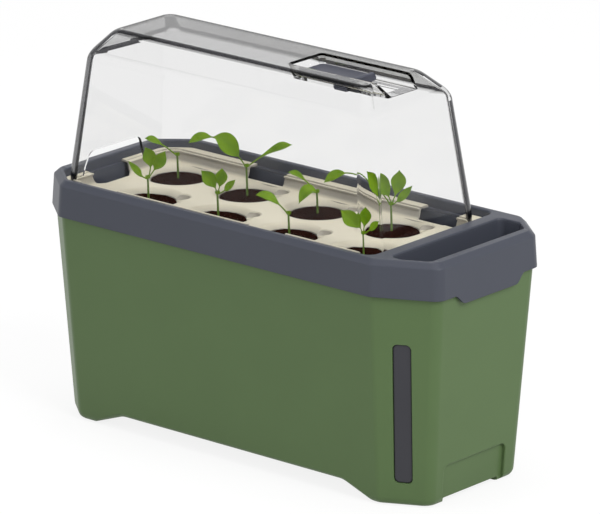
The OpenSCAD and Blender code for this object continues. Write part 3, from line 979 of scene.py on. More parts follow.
@dataclass
class WaterGauge:
    """Smoked strip in the tank's slot, with its flange behind the wall.

    Attributes:
        tank: the tank that it sits in.
        crown: how far its face bulges.
        crown_run: how far in from its edge the bulge is at its shoulder and at its top.
    """

    tank: WaterTank
    gap: float = 0.3
    sunk: float = 1.2
    seal: float = 1.0
    flange: float = 1.8
    frame_w: float = 4.0
    crown: float = 0.5
    crown_run: tuple[float, float] = (0.5, 1.6)
    shoulder: float = 0.3
    least_round: float = 0.8

    def build(self) -> Object:
        """Builds the strip, its crowned face and its flange.

        Returns:
            The strip, in millimetres.
        """
        t = self.tank
        w, h = t.gauge_w / 2 - self.gap, (t.gauge_z[1] - t.gauge_z[0]) / 2 - self.gap
        back = -t.wall - self.seal
        stations = [
            (back - self.flange, self.frame_w + self.gap),
            (back, self.frame_w + self.gap),
            (back, 0.0),
            (-self.sunk - self.crown, 0.0),
            (-self.sunk - self.crown * self.shoulder, -self.crown_run[0]),
            (-self.sunk, -self.crown_run[1]),
        ]
        rings = []
        for x, grow in stations:
            r = max(self.least_round, t.slot_round - self.gap + grow)
            rings.append(stand(ring(SQUARE, (w + grow, h + grow) * 2, r), x))
        return solid("gauge_strip", rings, place=t.on_gauge())

    def dress(self, smoke: Material) -> None:
        """Builds the strip and dresses it in its finish."""
        make_piece(self.build(), smoke, "tank", "window_smoke", "gauge_window")


@dataclass
class Collar:
    """Blue-grey collar: band with a sloped top edge, grip lips at its ends, mouths of the tub and trough.

    Attributes:
        plan: shared sizes.
        spare: length of band that is built below its lips and cut off by the draped edge.
        mouth_soft: rounding of the edge of the two mouths.
        mouth_mid: share of that rounding at which the edge is half turned over.
        mouth_out: share of it that the edge has opened out by, just over the top.
        drain_half: half length and half width of a drain in the trough's floor.
        slot_reach: how far the cutters of slots and drains reach down.
    """

    plan: Plan
    flare: float = 1.5
    slope: float = 4.0
    bend_soft: float = 0.6
    top_run: float = 5.0
    wall: float = 2.3
    ease: float = 0.2
    lip_h: float = 7.3
    lip_half: float = 29.0
    lip_run: float = 11.0
    spare: float = 4.0
    side_past: float = 8.0
    mouth_soft: float = 1.3
    mouth_mid: float = 0.3
    mouth_out: float = 1.1
    mouth_over: float = 0.2
    trough_x: float = 149.0
    trough_half: float = 63.0
    trough_side: float = 7.5
    trough_round: float = 5.0
    trough_in: float = 2.5
    trough_z: float = 150.0
    drain_pitch: float = 34.0
    drain_half: tuple[float, float] = (7.5, 12.6)
    drain_round: float = 2.0
    drain_over: float = 4.0
    tub_wall: float = 1.8
    ledge_w: float = 2.4
    tub_in: float = 6.0
    tub_soft: tuple[float, float] = (5.0, 3.0)
    tub_run: tuple[float, float] = (12.0, 10.0)
    slot_reach: float = 6.0
    slot_round: float = 0.8
    slot_gap: float = 0.3

    @property
    def trough_dirs(self) -> tuple[float, ...]:
        """Directions of the trough's faces."""
        return (0, self.plan.plain, 90, 180, 270, 360 - self.plan.corner)

    @property
    def trough_reach(self) -> tuple[float, ...]:
        """Distances of the trough's faces."""
        back, front = self.plan.plain_reach - self.trough_side, self.plan.corner_reach - self.trough_side
        return (self.plan.open_left, back, self.trough_half, -self.trough_x, self.trough_half, front)

    def mouth(self, foot: Level, soft: float = 0.0) -> list[Level]:
        """Heights of a mouth in the collar's top, with a rounded edge.

        Args:
            foot: the lowest height.
            soft: rounding where the edge begins.

        Returns:
            The heights, from the foot up.
        """
        top, run, r = self.plan.collar_top, self.mouth_soft, foot.round_by
        mid = run * self.mouth_mid
        edge = [Level(top - run, 0, r, soft=soft), Level(top - mid, -mid, r)]
        return [foot, *edge, Level(top + self.mouth_over, -run * self.mouth_out, r)]

    def band(self) -> Object:
        """Builds the band with its draped lower edge, and the mouths in its top.

        Returns:
            The band, in millimetres.
        """
        p = self.plan
        low = p.skirt_z - self.lip_h - self.spare
        bend_z = p.collar_top - self.slope
        out = self.flare * (bend_z - low) / (bend_z - p.skirt_z)
        outer = [
            Level(low, -out),
            Level(bend_z, 0, soft=self.bend_soft),
            Level(p.collar_top, self.slope, soft=self.bend_soft),
            Level(p.collar_top, self.slope + self.top_run),
        ]
        inner = [
            Level(low - BEYOND, self.wall - out),
            Level(bend_z, self.wall),
            Level(p.plate_z, self.wall + self.ease),
        ]
        made = solid("collar_band", loft(p.dirs, p.reach, outer, 10))
        combine(made, Joining.CUT, solid("hollow", loft(p.dirs, p.reach, inner, 10)))
        combine(made, Joining.CUT, solid("drape", self.drape(low - 3 * BEYOND)))
        plant = self.mouth(Level(p.tub_z, 0, p.open_round), SHARP)
        combine(made, Joining.CUT, solid("mouth", loft(p.open_dirs, p.open_reach, plant)))
        pour = self.mouth(Level(self.trough_z, self.trough_in, self.trough_round))
        return combine(made, Joining.CUT, solid("pour", loft(self.trough_dirs, self.trough_reach, pour)))

    def drape(self, low: float, points: int = 141) -> Rings:
        """Block below the band's lower edge, which hangs lower in the middle of the ends.

        Args:
            low: height of its underside.
            points: points across its top.

        Returns:
            Its rings along X.
        """
        side = self.plan.half_w + self.side_past
        y = np.linspace(-side, side, points)
        t = np.clip((self.lip_half + self.lip_run - np.abs(y)) / self.lip_run, 0, 1)
        z = self.plan.skirt_z - self.lip_h * (1 - np.cos(math.pi * t)) / 2
        edge = np.column_stack([y, z])
        flat = np.vstack([edge, [[y[-1], low], [y[0], low]]])
        return [stand(flat, x) for x in (-self.plan.half_l - PAST, self.plan.half_l + PAST)]

    def tub(self, wick_x: Sequence[float], wick_size: Sequence[float]) -> Object:
        """Builds the planting tub below the collar's top, with a ledge for the tray and a slot for each wick.

        Args:
            wick_x: x of the middle of each wick.
            wick_size: width and thickness of a wick.

        Returns:
            The tub, in millimetres.
        """
        p, w, step, r = self.plan, self.tub_wall, self.ledge_w, self.plan.open_round
        foot = step + self.tub_in
        form = [
            Level(p.tub_z - w, foot - w + self.tub_run[0], r),
            Level(p.tub_z - w, foot - w, r, soft=self.tub_soft[0]),
            Level(p.ledge_z - w, step - w, r),
            Level(p.ledge_z - w, -w, r),
            Level(p.plate_z, -w, r),
        ]
        space = [
            Level(p.tub_z, foot + self.tub_run[1], r),
            Level(p.tub_z, foot, r, soft=self.tub_soft[1]),
            Level(p.ledge_z, step, r),
            Level(p.ledge_z, 0, r),
            Level(p.plate_z + BEYOND, 0, r),
        ]
        made = solid("planting_tub_shell", loft(p.open_dirs, p.open_reach, form))
        combine(made, Joining.CUT, solid("space", loft(p.open_dirs, p.open_reach, space)))
        long, wide = (size / 2 + self.slot_gap for size in wick_size)
        z = (p.tub_z - self.slot_reach, p.tub_z + self.slot_reach)
        slots = [block((x - long, x + long), (-wide, wide), z, self.slot_round) for x in wick_x]
        return combine(made, Joining.CUT, solid("wick slots", *slots))

    def trough(self) -> Object:
        """Builds the fill trough with three drains in its floor.

        Returns:
            The trough, in millimetres.
        """
        p, w, r = self.plan, self.tub_wall, self.trough_round
        form = [Level(self.trough_z - w, self.trough_in - w, r), Level(p.plate_z, -w, r)]
        at_plate = self.trough_in * (p.collar_top - p.plate_z) / (p.collar_top - self.trough_z)
        space = [
            Level(self.trough_z, self.trough_in, r),
            Level(p.plate_z, at_plate, r),
            Level(p.plate_z + BEYOND, at_plate, r),
        ]
        made = solid("fill_trough_shell", loft(self.trough_dirs, self.trough_reach, form))
        combine(made, Joining.CUT, solid("space", loft(self.trough_dirs, self.trough_reach, space)))
        mid = self.trough_x + (p.open_left - self.trough_x) / 2
        long, wide = self.drain_half
        z = (self.trough_z - self.slot_reach, self.trough_z + self.drain_over)
        drains = []
        for y in (-self.drain_pitch, 0.0, self.drain_pitch):
            drains.append(block((mid - long, mid + long), (y - wide, y + wide), z, self.drain_round, 4))
        return combine(made, Joining.CUT, solid("drains", *drains))

    def dress(self, slate: Material, felts: "WickFelt") -> None:
        """Builds the band, the tub and the trough and dresses them in their finish.

        Args:
            slate: the finish.
            felts: the wicks that hang through the tub's floor.
        """
        make_piece(self.band(), slate, "insert", "insert_slate", "collar")
        tub = self.tub([felts.wick_x(side) for side in Side], felts.strip[:2])
        make_piece(tub, slate, "insert", "insert_slate", "planting_tub")
        make_piece(self.trough(), slate, "insert", "insert_slate", "fill_trough")


@dataclass
class WickFelt:
    """Felt mat on the floor of the tub and the two strips that hang from it into the water.

    Attributes:
        plan: shared sizes.
        mat_in: how far the mat's edge lies inside the planting opening.
        mat_t: thickness of the mat.
        strip: width, thickness and length of a strip.
        soft: rounding of the cut edges.
        mat_round: rounding of the mat's corners.
    """

    plan: Plan
    mat_in: float = 9.4
    mat_t: float = 3.4
    strip: tuple[float, float, float] = (30.0, 3.0, 111.0)
    soft: float = 1.0
    mat_round: float = 1.0

    def mat(self, felt: Material) -> None:
        """Builds and dresses the mat.

        Args:
            felt: its finish.
        """
        p, low, top = self.plan, self.plan.tub_z, self.plan.tub_z + self.mat_t
        run = self.mat_in + 2 * self.mat_t
        levels = [
            Level(low, run, self.mat_round),
            Level(low, self.mat_in, self.mat_round, soft=self.soft),
            Level(top, self.mat_in, self.mat_round, soft=self.soft),
            Level(top, run, self.mat_round),
        ]
        made = solid("felt_mat", loft(p.open_dirs, p.open_reach, levels))
        make_piece(made, felt, "insert", "felt", "wick_mat")
        x, y = ring(p.open_dirs, np.array(p.open_reach) - self.mat_in, self.mat_round).T * MM

    def wick_x(self, side: Side) -> float:
        """Middle of a strip in X, where its CAD node hangs."""
        low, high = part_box(f"wick_{side.value}")
        return (low.x + high.x) / 2 / MM

    def wick(self, side: Side, felt: Material) -> None:
        """Builds and dresses one strip.

        Args:
            side: end that it hangs at.
            felt: its finish.
        """
        x, (wide, thick, long) = self.wick_x(side), self.strip
        top = self.plan.tub_z
        form = block((x - wide / 2, x + wide / 2), (-thick / 2, thick / 2), (top - long, top), self.soft, 8)
        made = solid(f"felt_wick_{side.value}", form)
        make_piece(made, felt, "insert", "felt", f"wick_{side.value}")

    def dress(self, felt: Material) -> None:
        """Builds and dresses the mat and both strips.

        Args:
            felt: their finish.
        """
        self.mat(felt)
        for side in Side:
            self.wick(side, felt)


@dataclass
class SeedlingTray:
    """Cream tray: notched rim, step for the cover, dished floor with eight lipped holes and thumb dimples.

    Attributes:
        plan: shared sizes.
        cover: the cover that stands on its step.
        over: how far the step reaches in over the wall below it.
        floor_run: how far the floor is drawn in from the wall's foot, below and above.
        run_round: how much tighter its corners are there.
        ridge_edge: heights from the top of the rim's front ridge, and how far its inner edge is eased there.
        ridge_hide: how far the ridge's form lies inside the rim on the other three sides, below and above.
        lip_bend: how steeply the dish round a hole falls towards it.
        lip_edge: how far the dish's cutter starts below its lip, and ends past it, outwards and upwards.
        hair: how far the dish's edge stands over the floor, so that it cuts cleanly.
        bowl: radius and depth of a thumb dimple, as shares, from its middle out.
        bowl_lip: share of the radius, and height above the floor, of the dimple's edge.
        notch_part: where the notches stand, in pitches left of the middle.
        finger_ease: heights from the floor, and how far the finger cut's edge is eased there.
        cut_z: lowest and highest point of the cutters of the rim.
    """

    plan: Plan
    cover: "ClearCover"
    wall: float = 1.4
    gap: float = 0.5
    edge_gap: float = 0.4
    floor_in: float = 4.5
    step_in: float = 2.4
    over: float = 1.6
    over_t: float = 1.5
    under_rim: float = 1.0
    ledge_rise: float = 0.4
    floor_run: tuple[float, float] = (16.0, 14.0)
    run_round: float = 4.0
    under_soft: float = 6.0
    step_soft: float = 0.7
    edge_soft: float = 0.4
    foot_soft: float = 2.8
    flange_rise: float = 0.5
    flange_run: float = 3.0
    fillet: float = 3.0
    hole_r: float = 21.6
    taper: float = 1.6
    lip_w: float = 6.5
    lip_h: float = 3.4
    lip_bend: float = 1.8
    lip_edge: tuple[float, float, float] = (0.5, 0.2, 2.0)
    lip_steps: int = 12
    hair: float = 0.02
    boss_w: float = 2.6
    ridge_w: float = 1.6
    ridge_z: float = 188.4
    ridge_low: float = 0.5
    ridge_edge: tuple[tuple[float, float], ...] = ((-0.6, 0.0), (-0.2, 0.15), (0.1, 0.6))
    ridge_hide: tuple[float, float] = (4.0, 6.0)
    dimple_r: float = 6.6
    dimple_h: float = 5.6
    dimple_at: float = 3.0
    bowl: tuple[tuple[float, float], ...] = ((0.5, 1.0), (0.85, 0.8), (1.0, 0.45))
    bowl_lip: tuple[tuple[float, float], ...] = ((1.04, -0.8), (1.22, 0.05), (1.3, 1.5))
    notch_w: float = 36.0
    notch_in: float = 8.0
    notch_round: float = 1.2
    notch_spread: float = 0.6
    notch_part: tuple[float, float] = (0.754, -1.628)
    finger_w: float = 39.0
    finger_y: float = -10.0
    finger_in: float = 14.0
    finger_round: float = 8.5
    finger_ease: tuple[tuple[float, float], ...] = ((-0.8, 0.0), (0.3, 0.9))
    finger_spread: float = 2.0
    cut_z: tuple[float, float] = (150.0, 200.0)

    def shell(self) -> Object:
        """Builds floor, wall, step and rim of the tray, with a ridge along the front of the rim.

        Returns:
            The tray without its holes, in millimetres.
        """
        p, w, r = self.plan, self.wall, self.cover.round_by
        dirs, reach = SQUARE, self.cover.reach
        inner, foot = self.step_in, self.floor_in
        under = -self.gap - self.under_rim
        tip, tip_z = inner + self.over, p.step_z - self.over_t
        levels = [
            Level(p.floor_z - w, foot - w + self.floor_run[0], r - foot - self.run_round),
            Level(p.floor_z - w, foot - w, r - foot, soft=self.under_soft),
            Level(p.ledge_z, inner - w, r - inner),
            Level(p.ledge_z + self.ledge_rise, under, r),
            Level(p.step_z, under, r),
            Level(p.step_z, tip, r - inner - self.over, soft=self.step_soft),
            Level(tip_z, tip, r - inner - self.over, soft=self.edge_soft),
            Level(tip_z, inner, r - inner, soft=self.edge_soft),
            Level(p.floor_z, foot, r - foot, soft=self.foot_soft),
            Level(p.floor_z, foot + self.floor_run[1], r - foot - self.run_round),
        ]
        made = solid("seedling_tray_shell", loft(dirs, reach, levels, 10))
        flange_z = p.step_z + self.flange_rise
        rim = [
            Level(p.ledge_z, self.edge_gap, p.open_round),
            Level(flange_z, self.edge_gap, p.open_round, soft=self.edge_soft),
            Level(flange_z, self.edge_gap + self.flange_run, p.open_round),
        ]
        inside = [Level(p.ledge_z - BEYOND, -self.gap, r + self.gap)]
        for up, ease in self.ridge_edge:
            inside.append(Level(self.ridge_z + up, -self.gap - ease, r + self.gap))
        out = (*(self.ridge_hide[0],) * 3, -self.gap - self.ridge_w)
        ridge = [
            Level(p.ledge_z + self.ridge_low, out, r),
            Level(self.ridge_z, out, r, soft=self.step_soft),
            Level(self.ridge_z, (*(self.ridge_hide[1],) * 3, 0.0), r),
        ]
        plate = solid("rim", loft(p.open_dirs, p.open_reach, rim))
        combine(plate, Joining.JOIN, solid("ridge", loft(dirs, reach, ridge, 10)))
        combine(plate, Joining.CUT, solid("rim inside", loft(dirs, reach, inside, 10)))
        return combine(made, Joining.JOIN, plate)

    def floor_area(self) -> tuple[np.ndarray, np.ndarray]:
        """Lowest and highest x and y of the flat floor, inside its fillet."""
        right, back, left, front = (v - self.floor_in - self.fillet for v in self.cover.reach)
        return np.array([-left, -front]), np.array([right, back])

    def hole_profile(self) -> list[tuple[float, float]]:
        """Profile of a hole's bore and of the dished lip round it.

        Returns:
            Pairs of radius and height, from the bottom up.
        """
        floor, low = self.plan.floor_z, self.plan.boss_z - BEYOND
        bore = self.hole_r - self.taper * (floor - low) / (floor - self.plan.plug_z)
        lip = []
        for t in np.linspace(0, 1, self.lip_steps):
            deep = self.lip_h * (1 - t) ** self.lip_bend
            lip.append((self.hole_r + self.lip_w * t, floor + self.hair - deep))
        under, out, up = self.lip_edge
        foot = [(bore, low), (self.hole_r, floor - self.lip_h - under)]
        return [*foot, *lip, (lip[-1][0] + out, floor + up)]

    def build(self) -> Object:
        """Builds the tray with its holes, dimples, notches and finger cuts.

        Returns:
            The tray, in millimetres.
        """
        p, floor = self.plan, self.plan.floor_z
        made = self.shell()
        side = math.sqrt(0.5) * (self.hole_r + self.dimple_at)
        holes = [p.hole(i) for i in range(p.holes)]
        thumbs = [(x + side, y + side) for x, y in holes]
        top = floor - self.wall / 2
        boss = self.hole_r + self.wall + self.boss_w
        bosses = [turned([(boss, p.boss_z), (boss, top)], at) for at in holes]
        combine(made, Joining.JOIN, solid("bosses", *bosses))
        pad = self.dimple_r + self.wall
        deep = floor - self.dimple_h - self.wall
        pads = [turned([(pad, deep), (pad, top)], at, 32) for at in thumbs]
        combine(made, Joining.JOIN, solid("pads", *pads))
        near, far = self.floor_area()
        dishes = [turned(self.hole_profile(), at) for at in holes]
        for level in (level for dish in dishes for level in dish):
            level[:, :2] = np.clip(level[:, :2], near, far)
        combine(made, Joining.CUT, solid("holes", *dishes))
        r, h = self.dimple_r, self.dimple_h
        bowl = [(r * wide, floor - h * down) for wide, down in self.bowl]
        bowl += [(r * wide, floor + up) for wide, up in self.bowl_lip]
        combine(made, Joining.CUT, solid("dimples", *[turned(bowl, at, 40) for at in thumbs]))
        return combine(made, Joining.CUT, *self.rim_cuts())

    def dress(self, cream: Material) -> None:
        """Builds the tray and dresses it in its finish."""
        make_piece(self.build(), cream, "tray", "tray_cream", "seedling_tray")

    def rim_cuts(self) -> list[Object]:
        """Finger cut at each end and two notches in each long rim, the same turned half round.

        Returns:
            The cutters.
        """
        p, r, (low, high) = self.plan, self.finger_round, self.cut_z
        half = self.finger_w / 2
        near, y = self.finger_in - p.open_left, self.finger_y
        reach = (near, y + half, p.open_left + PAST, half - y)
        eased = [Level(p.floor_z + up, -ease, r) for up, ease in self.finger_ease]
        skins = [loft(SQUARE, reach, [Level(low, 0, r), *eased, Level(high, -self.finger_spread, r)])]
        half = self.notch_w / 2
        notch = [Level(p.floor_z, 0, self.notch_round), Level(high, -self.notch_spread, self.notch_round)]
        for part in self.notch_part:
            x = p.middle_x - p.pitch * part
            reach = (x + half, p.open_side + PAST, -x + half, -(p.open_side - 2 * self.notch_in))
            skins.append(loft(SQUARE, reach, notch, 4))
        about = Matrix.Translation((p.middle_x, 0, 0))
        cuts = []
        for skin in skins:
            for turn in (0.0, math.pi):
                place = about @ Matrix.Rotation(turn, 4, "Z") @ about.inverted()
                cuts.append(solid("rim cut", skin, place=place))
        return cuts


@dataclass
class ClearCover:
    """Clear cover with a sloped band below its top, a hand opening at the left end and a vent channel.

    Attributes:
        plan: shared sizes.
        reach: distances of its right, back, left and front walls at the collar's top.
        lean_in: how far each wall leans in up to the slope.
        slope_in: how far each side of the slope runs in.
        soft_out: rounding of the slope's lower and upper bend outside.
        soft_in: the same inside.
        vent_ease: rounding of the channel's upper edge.
        vent_part: share of the channel walls' slant that is left at that edge.
        vent_over: how far the channel's space, and the block it is sunk in, rise past the top.
        near_vent: how far the channel's finish goes past its left end and its sides, and how far above
            the slope's lower bend it begins.
        clear_below: how far below that bend the front right and back left corners are left clear.
        end_over: how far above that bend the right end is left clear.
        straight: least agreement of a face with a flat side that makes it part of that side.
        corner_at: x and y past which a bend belongs to the front left corner.
        end_at: least x and greatest y of the right end's middle, whose bends are left clear.
    """

    plan: Plan
    reach: tuple[float, ...] = (130.9, 61.8, 173.4, 61.8)
    lean_in: tuple[float, ...] = (13.6, 10.8, 10.8, 10.8)
    slope_in: tuple[float, ...] = (17.5, 18.5, 13.3, 18.5)
    round_by: float = 14.0
    round_in: float = 3.0
    slope_z: float = 284.1
    top_z: float = 301.7
    soft_out: tuple[float, float] = (5.0, 4.0)
    soft_in: tuple[float, float] = (3.5, 3.0)
    top_run: float = 12.0
    top_tight: float = 5.0
    least_round: float = 2.0
    wall: float = 2.0
    thick: float = 2.6
    hand_w: float = 56.0
    hand_h: float = 18.0
    hand_y: float = -5.5
    hand_spread: float = 7.0
    hand_round: float = 5.0
    hand_x: tuple[float, float] = (-12.0, 30.0)
    vent_x0: float = 13.75
    vent_z: float = 292.3
    vent_half: float = 19.5
    vent_in: float = 4.7
    vent_round: float = 4.0
    vent_foot: float = 2.5
    vent_soft: float = 1.5
    vent_ease: float = 0.25
    vent_edge: float = 0.4
    vent_part: float = 0.04
    vent_over: tuple[float, float] = (0.3, 0.5)
    hole_x: tuple[float, float] = (76.45, 99.45)
    hole_half: float = 7.5
    hole_round: float = 1.5
    clip_x: tuple[float, float] = (55.15, 97.75)
    clip_y: float = 12.3
    clip_half: float = 1.3
    clip_round: float = 0.6
    straight: float = 0.9976
    corner_at: tuple[float, float] = (-140.0, -30.0)
    end_at: tuple[float, float] = (90.0, 44.0)
    near_vent: tuple[float, float, float] = (4.0, 3.0, 2.0)
    clear_below: float = 6.0
    end_over: float = 8.0

    def form(self, amount: float, low: float, soft: tuple[float, float]) -> Rings:
        """The cover's outer form, or its inner one.

        Args:
            amount: how much smaller it is all round.
            low: its lowest height.
            soft: rounding of the slope's lower and upper bend.

        Returns:
            Its rings.
        """
        r, d = self.round_by - amount, self.round_in
        lean = np.array(self.lean_in) + amount
        top = lean + np.array(self.slope_in)
        top_z, top_r = self.top_z - amount, self.round_by - 2 * d - amount
        levels = [
            Level(low, amount, r),
            Level(self.plan.collar_top, amount, r),
            Level(self.slope_z - amount / 3, tuple(lean), self.round_by - d - amount, soft=soft[0]),
            Level(top_z, tuple(top), top_r, soft=soft[1]),
            Level(top_z, tuple(top + self.top_run), max(self.least_round, top_r - self.top_tight)),
        ]
        return loft(SQUARE, self.reach, levels, 10)

    def channel(self) -> Rings:
        """The space of the vent channel, open at the right.

        Returns:
            Its rings.
        """
        slant = np.array((0.0, self.vent_in, self.vent_in, self.vent_in))
        ease = (0.0, -self.vent_ease, -self.vent_ease, -self.vent_ease)
        levels = [
            Level(self.vent_z, tuple(slant + self.vent_foot), self.vent_round),
            Level(self.vent_z, tuple(slant), self.vent_round, soft=self.vent_soft),
            Level(self.top_z - self.vent_edge, tuple(slant * self.vent_part), self.vent_round),
            Level(self.top_z + self.vent_over[0], ease, self.vent_round),
        ]
        return loft(SQUARE, (self.reach[0], self.vent_half, -self.vent_x0, self.vent_half), levels, 6)

    def trough(self) -> Rings:
        """The block that the vent channel is sunk in.

        Returns:
            Its rings.
        """
        half = self.vent_half + self.wall
        slant = (0.0, self.vent_in, self.vent_in, self.vent_in)
        low, high, r = self.vent_z - self.wall, self.top_z + self.vent_over[1], self.vent_round
        levels = [Level(low, slant, r), Level(high, 0, r)]
        return loft(SQUARE, (self.reach[0], half, -self.vent_x0 + self.wall, half), levels, 6)

    def build(self) -> Object:
        """Builds the cover with its channel, vent hole, clip slots and hand opening.

        Returns:
            The cover, in millimetres.
        """
        low = self.plan.step_z
        made = solid("clear_cover", self.form(0, low, self.soft_out))
        combine(made, Joining.CUT, solid("space", self.form(self.thick, low - 0.5, self.soft_in)))
        body = solid("body", self.form(0, low, self.soft_out))
        combine(made, Joining.JOIN, combine(body, Joining.SHARE, solid("trough", self.trough())))
        combine(made, Joining.CUT, solid("channel", self.channel()))
        z = (self.vent_z - 3 * self.wall, self.vent_z + BEYOND)
        hole = block(self.hole_x, (-self.hole_half, self.hole_half), z, self.hole_round, 4)
        combine(made, Joining.CUT, solid("vent hole", hole))
        slots = []
        for y in (-self.clip_y, self.clip_y):
            slots.append(block(self.clip_x, (y - self.clip_half, y + self.clip_half), z, self.clip_round))
        combine(made, Joining.CUT, solid("clip slots", *slots))
        return combine(made, Joining.CUT, solid("hand opening", self.hand_opening()))

    def finish(self, made: Object, finishes: Sequence[Material]) -> Object:
        """Gives the flat faces one finish and the bends between them others, each copy with its own painted
        edge shade.

        Args:
            made: the cover, in millimetres.
            finishes: of the flat faces, the bends, the front left corner and the vent channel.

        Returns:
            The cover.
        """
        rise, up = self.slope_z - self.plan.collar_top, Vector((0, 0, 1))
        sides = [up]
        for i, heading in enumerate(SQUARE):
            out = Vector((math.cos(math.radians(heading)), math.sin(math.radians(heading)), 0))
            sides.append((out * rise + up * self.lean_in[i]).normalized())
            sides.append((out * (self.top_z - self.slope_z) + up * self.slope_in[i]).normalized())
            sides.append(out)
        made.data.materials.clear()
        for one in finishes:
            made.data.materials.append(one)
        # Painted shade: each region gets the copy of the clear finish whose edge darkening it should show
        left, beside, over = self.near_vent
        for face in made.data.polygons:
            x, y, z = face.center
            z -= self.slope_z
            in_vent = x > self.vent_x0 - left and abs(y) < self.vent_half + beside and z > over
            straight = max(abs(face.normal.dot(one)) for one in sides) > self.straight
            through = (x < 0 < y or y < 0 < x) and z < -self.clear_below
            near_end = x > self.end_at[0] and abs(y) < self.end_at[1] and z < self.end_over
            front_left = x < self.corner_at[0] and y < self.corner_at[1] and z < 0
            if in_vent:
                face.material_index = 3
            elif straight or through or near_end:
                face.material_index = 0
            else:
                face.material_index = 2 if front_left else 1
        return made

    def dress(self, finishes: Sequence[Material]) -> None:
        """Builds the cover and dresses it in its finishes."""
        shell = self.finish(self.build(), finishes)
        make_piece(shell, finishes[0], "dome", "cover_clear", "dome_cover")

    def hand_opening(self) -> Rings:
        """Opening at the left end, wider at its foot, with rounded upper corners.

        Returns:
            Its rings along X.
        """
        low, wide, top = self.plan.step_z, self.hand_w / 2 + self.hand_spread, self.hand_w / 2
        path = np.array([[low - BEYOND, -wide], [low + self.hand_h, -top], [low + self.hand_h, 0.0]])
        edge = soften(path, [0, self.hand_round, 0], 8)
        left = np.column_stack([self.hand_y + edge[:, 1], edge[:, 0]])
        right = np.column_stack([self.hand_y - edge[:, 1], edge[:, 0]])[::-1]
        flat = np.vstack([left, right[1:]])
        return [stand(flat, -self.reach[2] + x) for x in self.hand_x]


@dataclass
class VentSlide:
    """Slate slide in the vent channel: rounded plate, thumb ridge at its right end, two clips below.

    Attributes:
        cover: the cover that it slides in.
        x: its left and right end.
        ridge_soft: rounding of the ridge's foot, crest and back.
        ridge_end: how much lower the ridge is at its ends, and over what length.
    """

    cover: ClearCover
    x: tuple[float, float] = (18.95, 72.45)
    half: float = 14.3
    thick: float = 3.2
    gap: float = 0.3
    corner: float = 3.5
    top_corner: float = 3.0
    top_soft: float = 1.0
    top_run: float = 4.0
    foot_break: tuple[float, float] = (0.5, 0.4)
    ridge_l: float = 7.0
    ridge_h: float = 3.4
    ridge_in: float = 3.5
    ridge_crest: float = 0.68
    ridge_back: float = 0.8
    ridge_soft: tuple[float, float, float] = (2.0, 1.2, 1.0)
    ridge_end: tuple[float, float] = (0.82, 0.9)
    clip_l: float = 12.0
    clip_end: float = 5.0
    clip_t: float = 2.0
    clip_round: float = 0.4
    hook_w: float = 1.4
    hook_h: float = 1.6
    hook_break: tuple[float, float] = (0.6, 0.4)

    def ridge(self, top: float) -> Rings:
        """Thumb ridge across the slide's right end.

        Args:
            top: height of the plate's top.

        Returns:
            Its rings across Y.
        """
        low, high, long = top - 1, top + self.ridge_h, self.ridge_l
        back = top + self.ridge_h * self.ridge_back
        edge = np.array([[low, 0.0], [top, 0.0], [high, long * self.ridge_crest], [back, long], [low, long]])
        flat = soften(edge, [0, *self.ridge_soft, 0], 5)
        half, (shrink, run) = self.half - self.ridge_in, self.ridge_end
        rings = []
        for y, share in ((-half, shrink), (-half + run, 1.0), (half - run, 1.0), (half, shrink)):
            z = low + (flat[:, 0] - low) * share
            rings.append(np.column_stack([self.x[1] - long + flat[:, 1], np.full(len(flat), y), z]))
        return rings

    def build(self) -> Object:
        """Builds the slide.

        Returns:
            The slide, in millimetres.
        """
        low = self.cover.vent_z + self.gap
        top = low + self.thick
        reach = (self.x[1], self.half, -self.x[0], self.half)
        plate = [
            Level(low, self.foot_break[1], self.corner),
            Level(low + self.foot_break[0], 0, self.corner),
            Level(top, 0, self.corner, soft=self.top_soft),
            Level(top, self.top_run, self.top_corner),
        ]
        made = solid("vent_slide_plate", loft(SQUARE, reach, plate))
        combine(made, Joining.JOIN, solid("ridge", self.ridge(top)))
        near = self.x[1] - self.clip_l - self.clip_end
        foot = self.cover.vent_z - self.cover.wall - self.gap - self.hook_h
        r, half = self.clip_round, self.clip_t / 2
        catch = [
            Level(foot, self.hook_break[1], r),
            Level(foot + self.hook_break[0], 0, r),
            Level(foot + self.hook_h, 0, r),
        ]
        for side in (-1, 1):
            y = side * self.cover.clip_y
            leg = block((near, near + self.clip_l), (y - half, y + half), (foot, low + BEYOND), r)
            hook = [near + self.clip_l, y + half, -near, -y + half]
            hook[1 if side > 0 else 3] += self.hook_w
            clip = combine(solid("leg", leg), Joining.JOIN, solid("catch", loft(SQUARE, hook, catch, 3)))
            combine(made, Joining.JOIN, clip)
        return made

    def dress(self, light: Material) -> None:
        """Builds the slide and dresses it in its finish."""
        make_piece(self.build(), light, "slide", "slide_slate", "vent_slide")


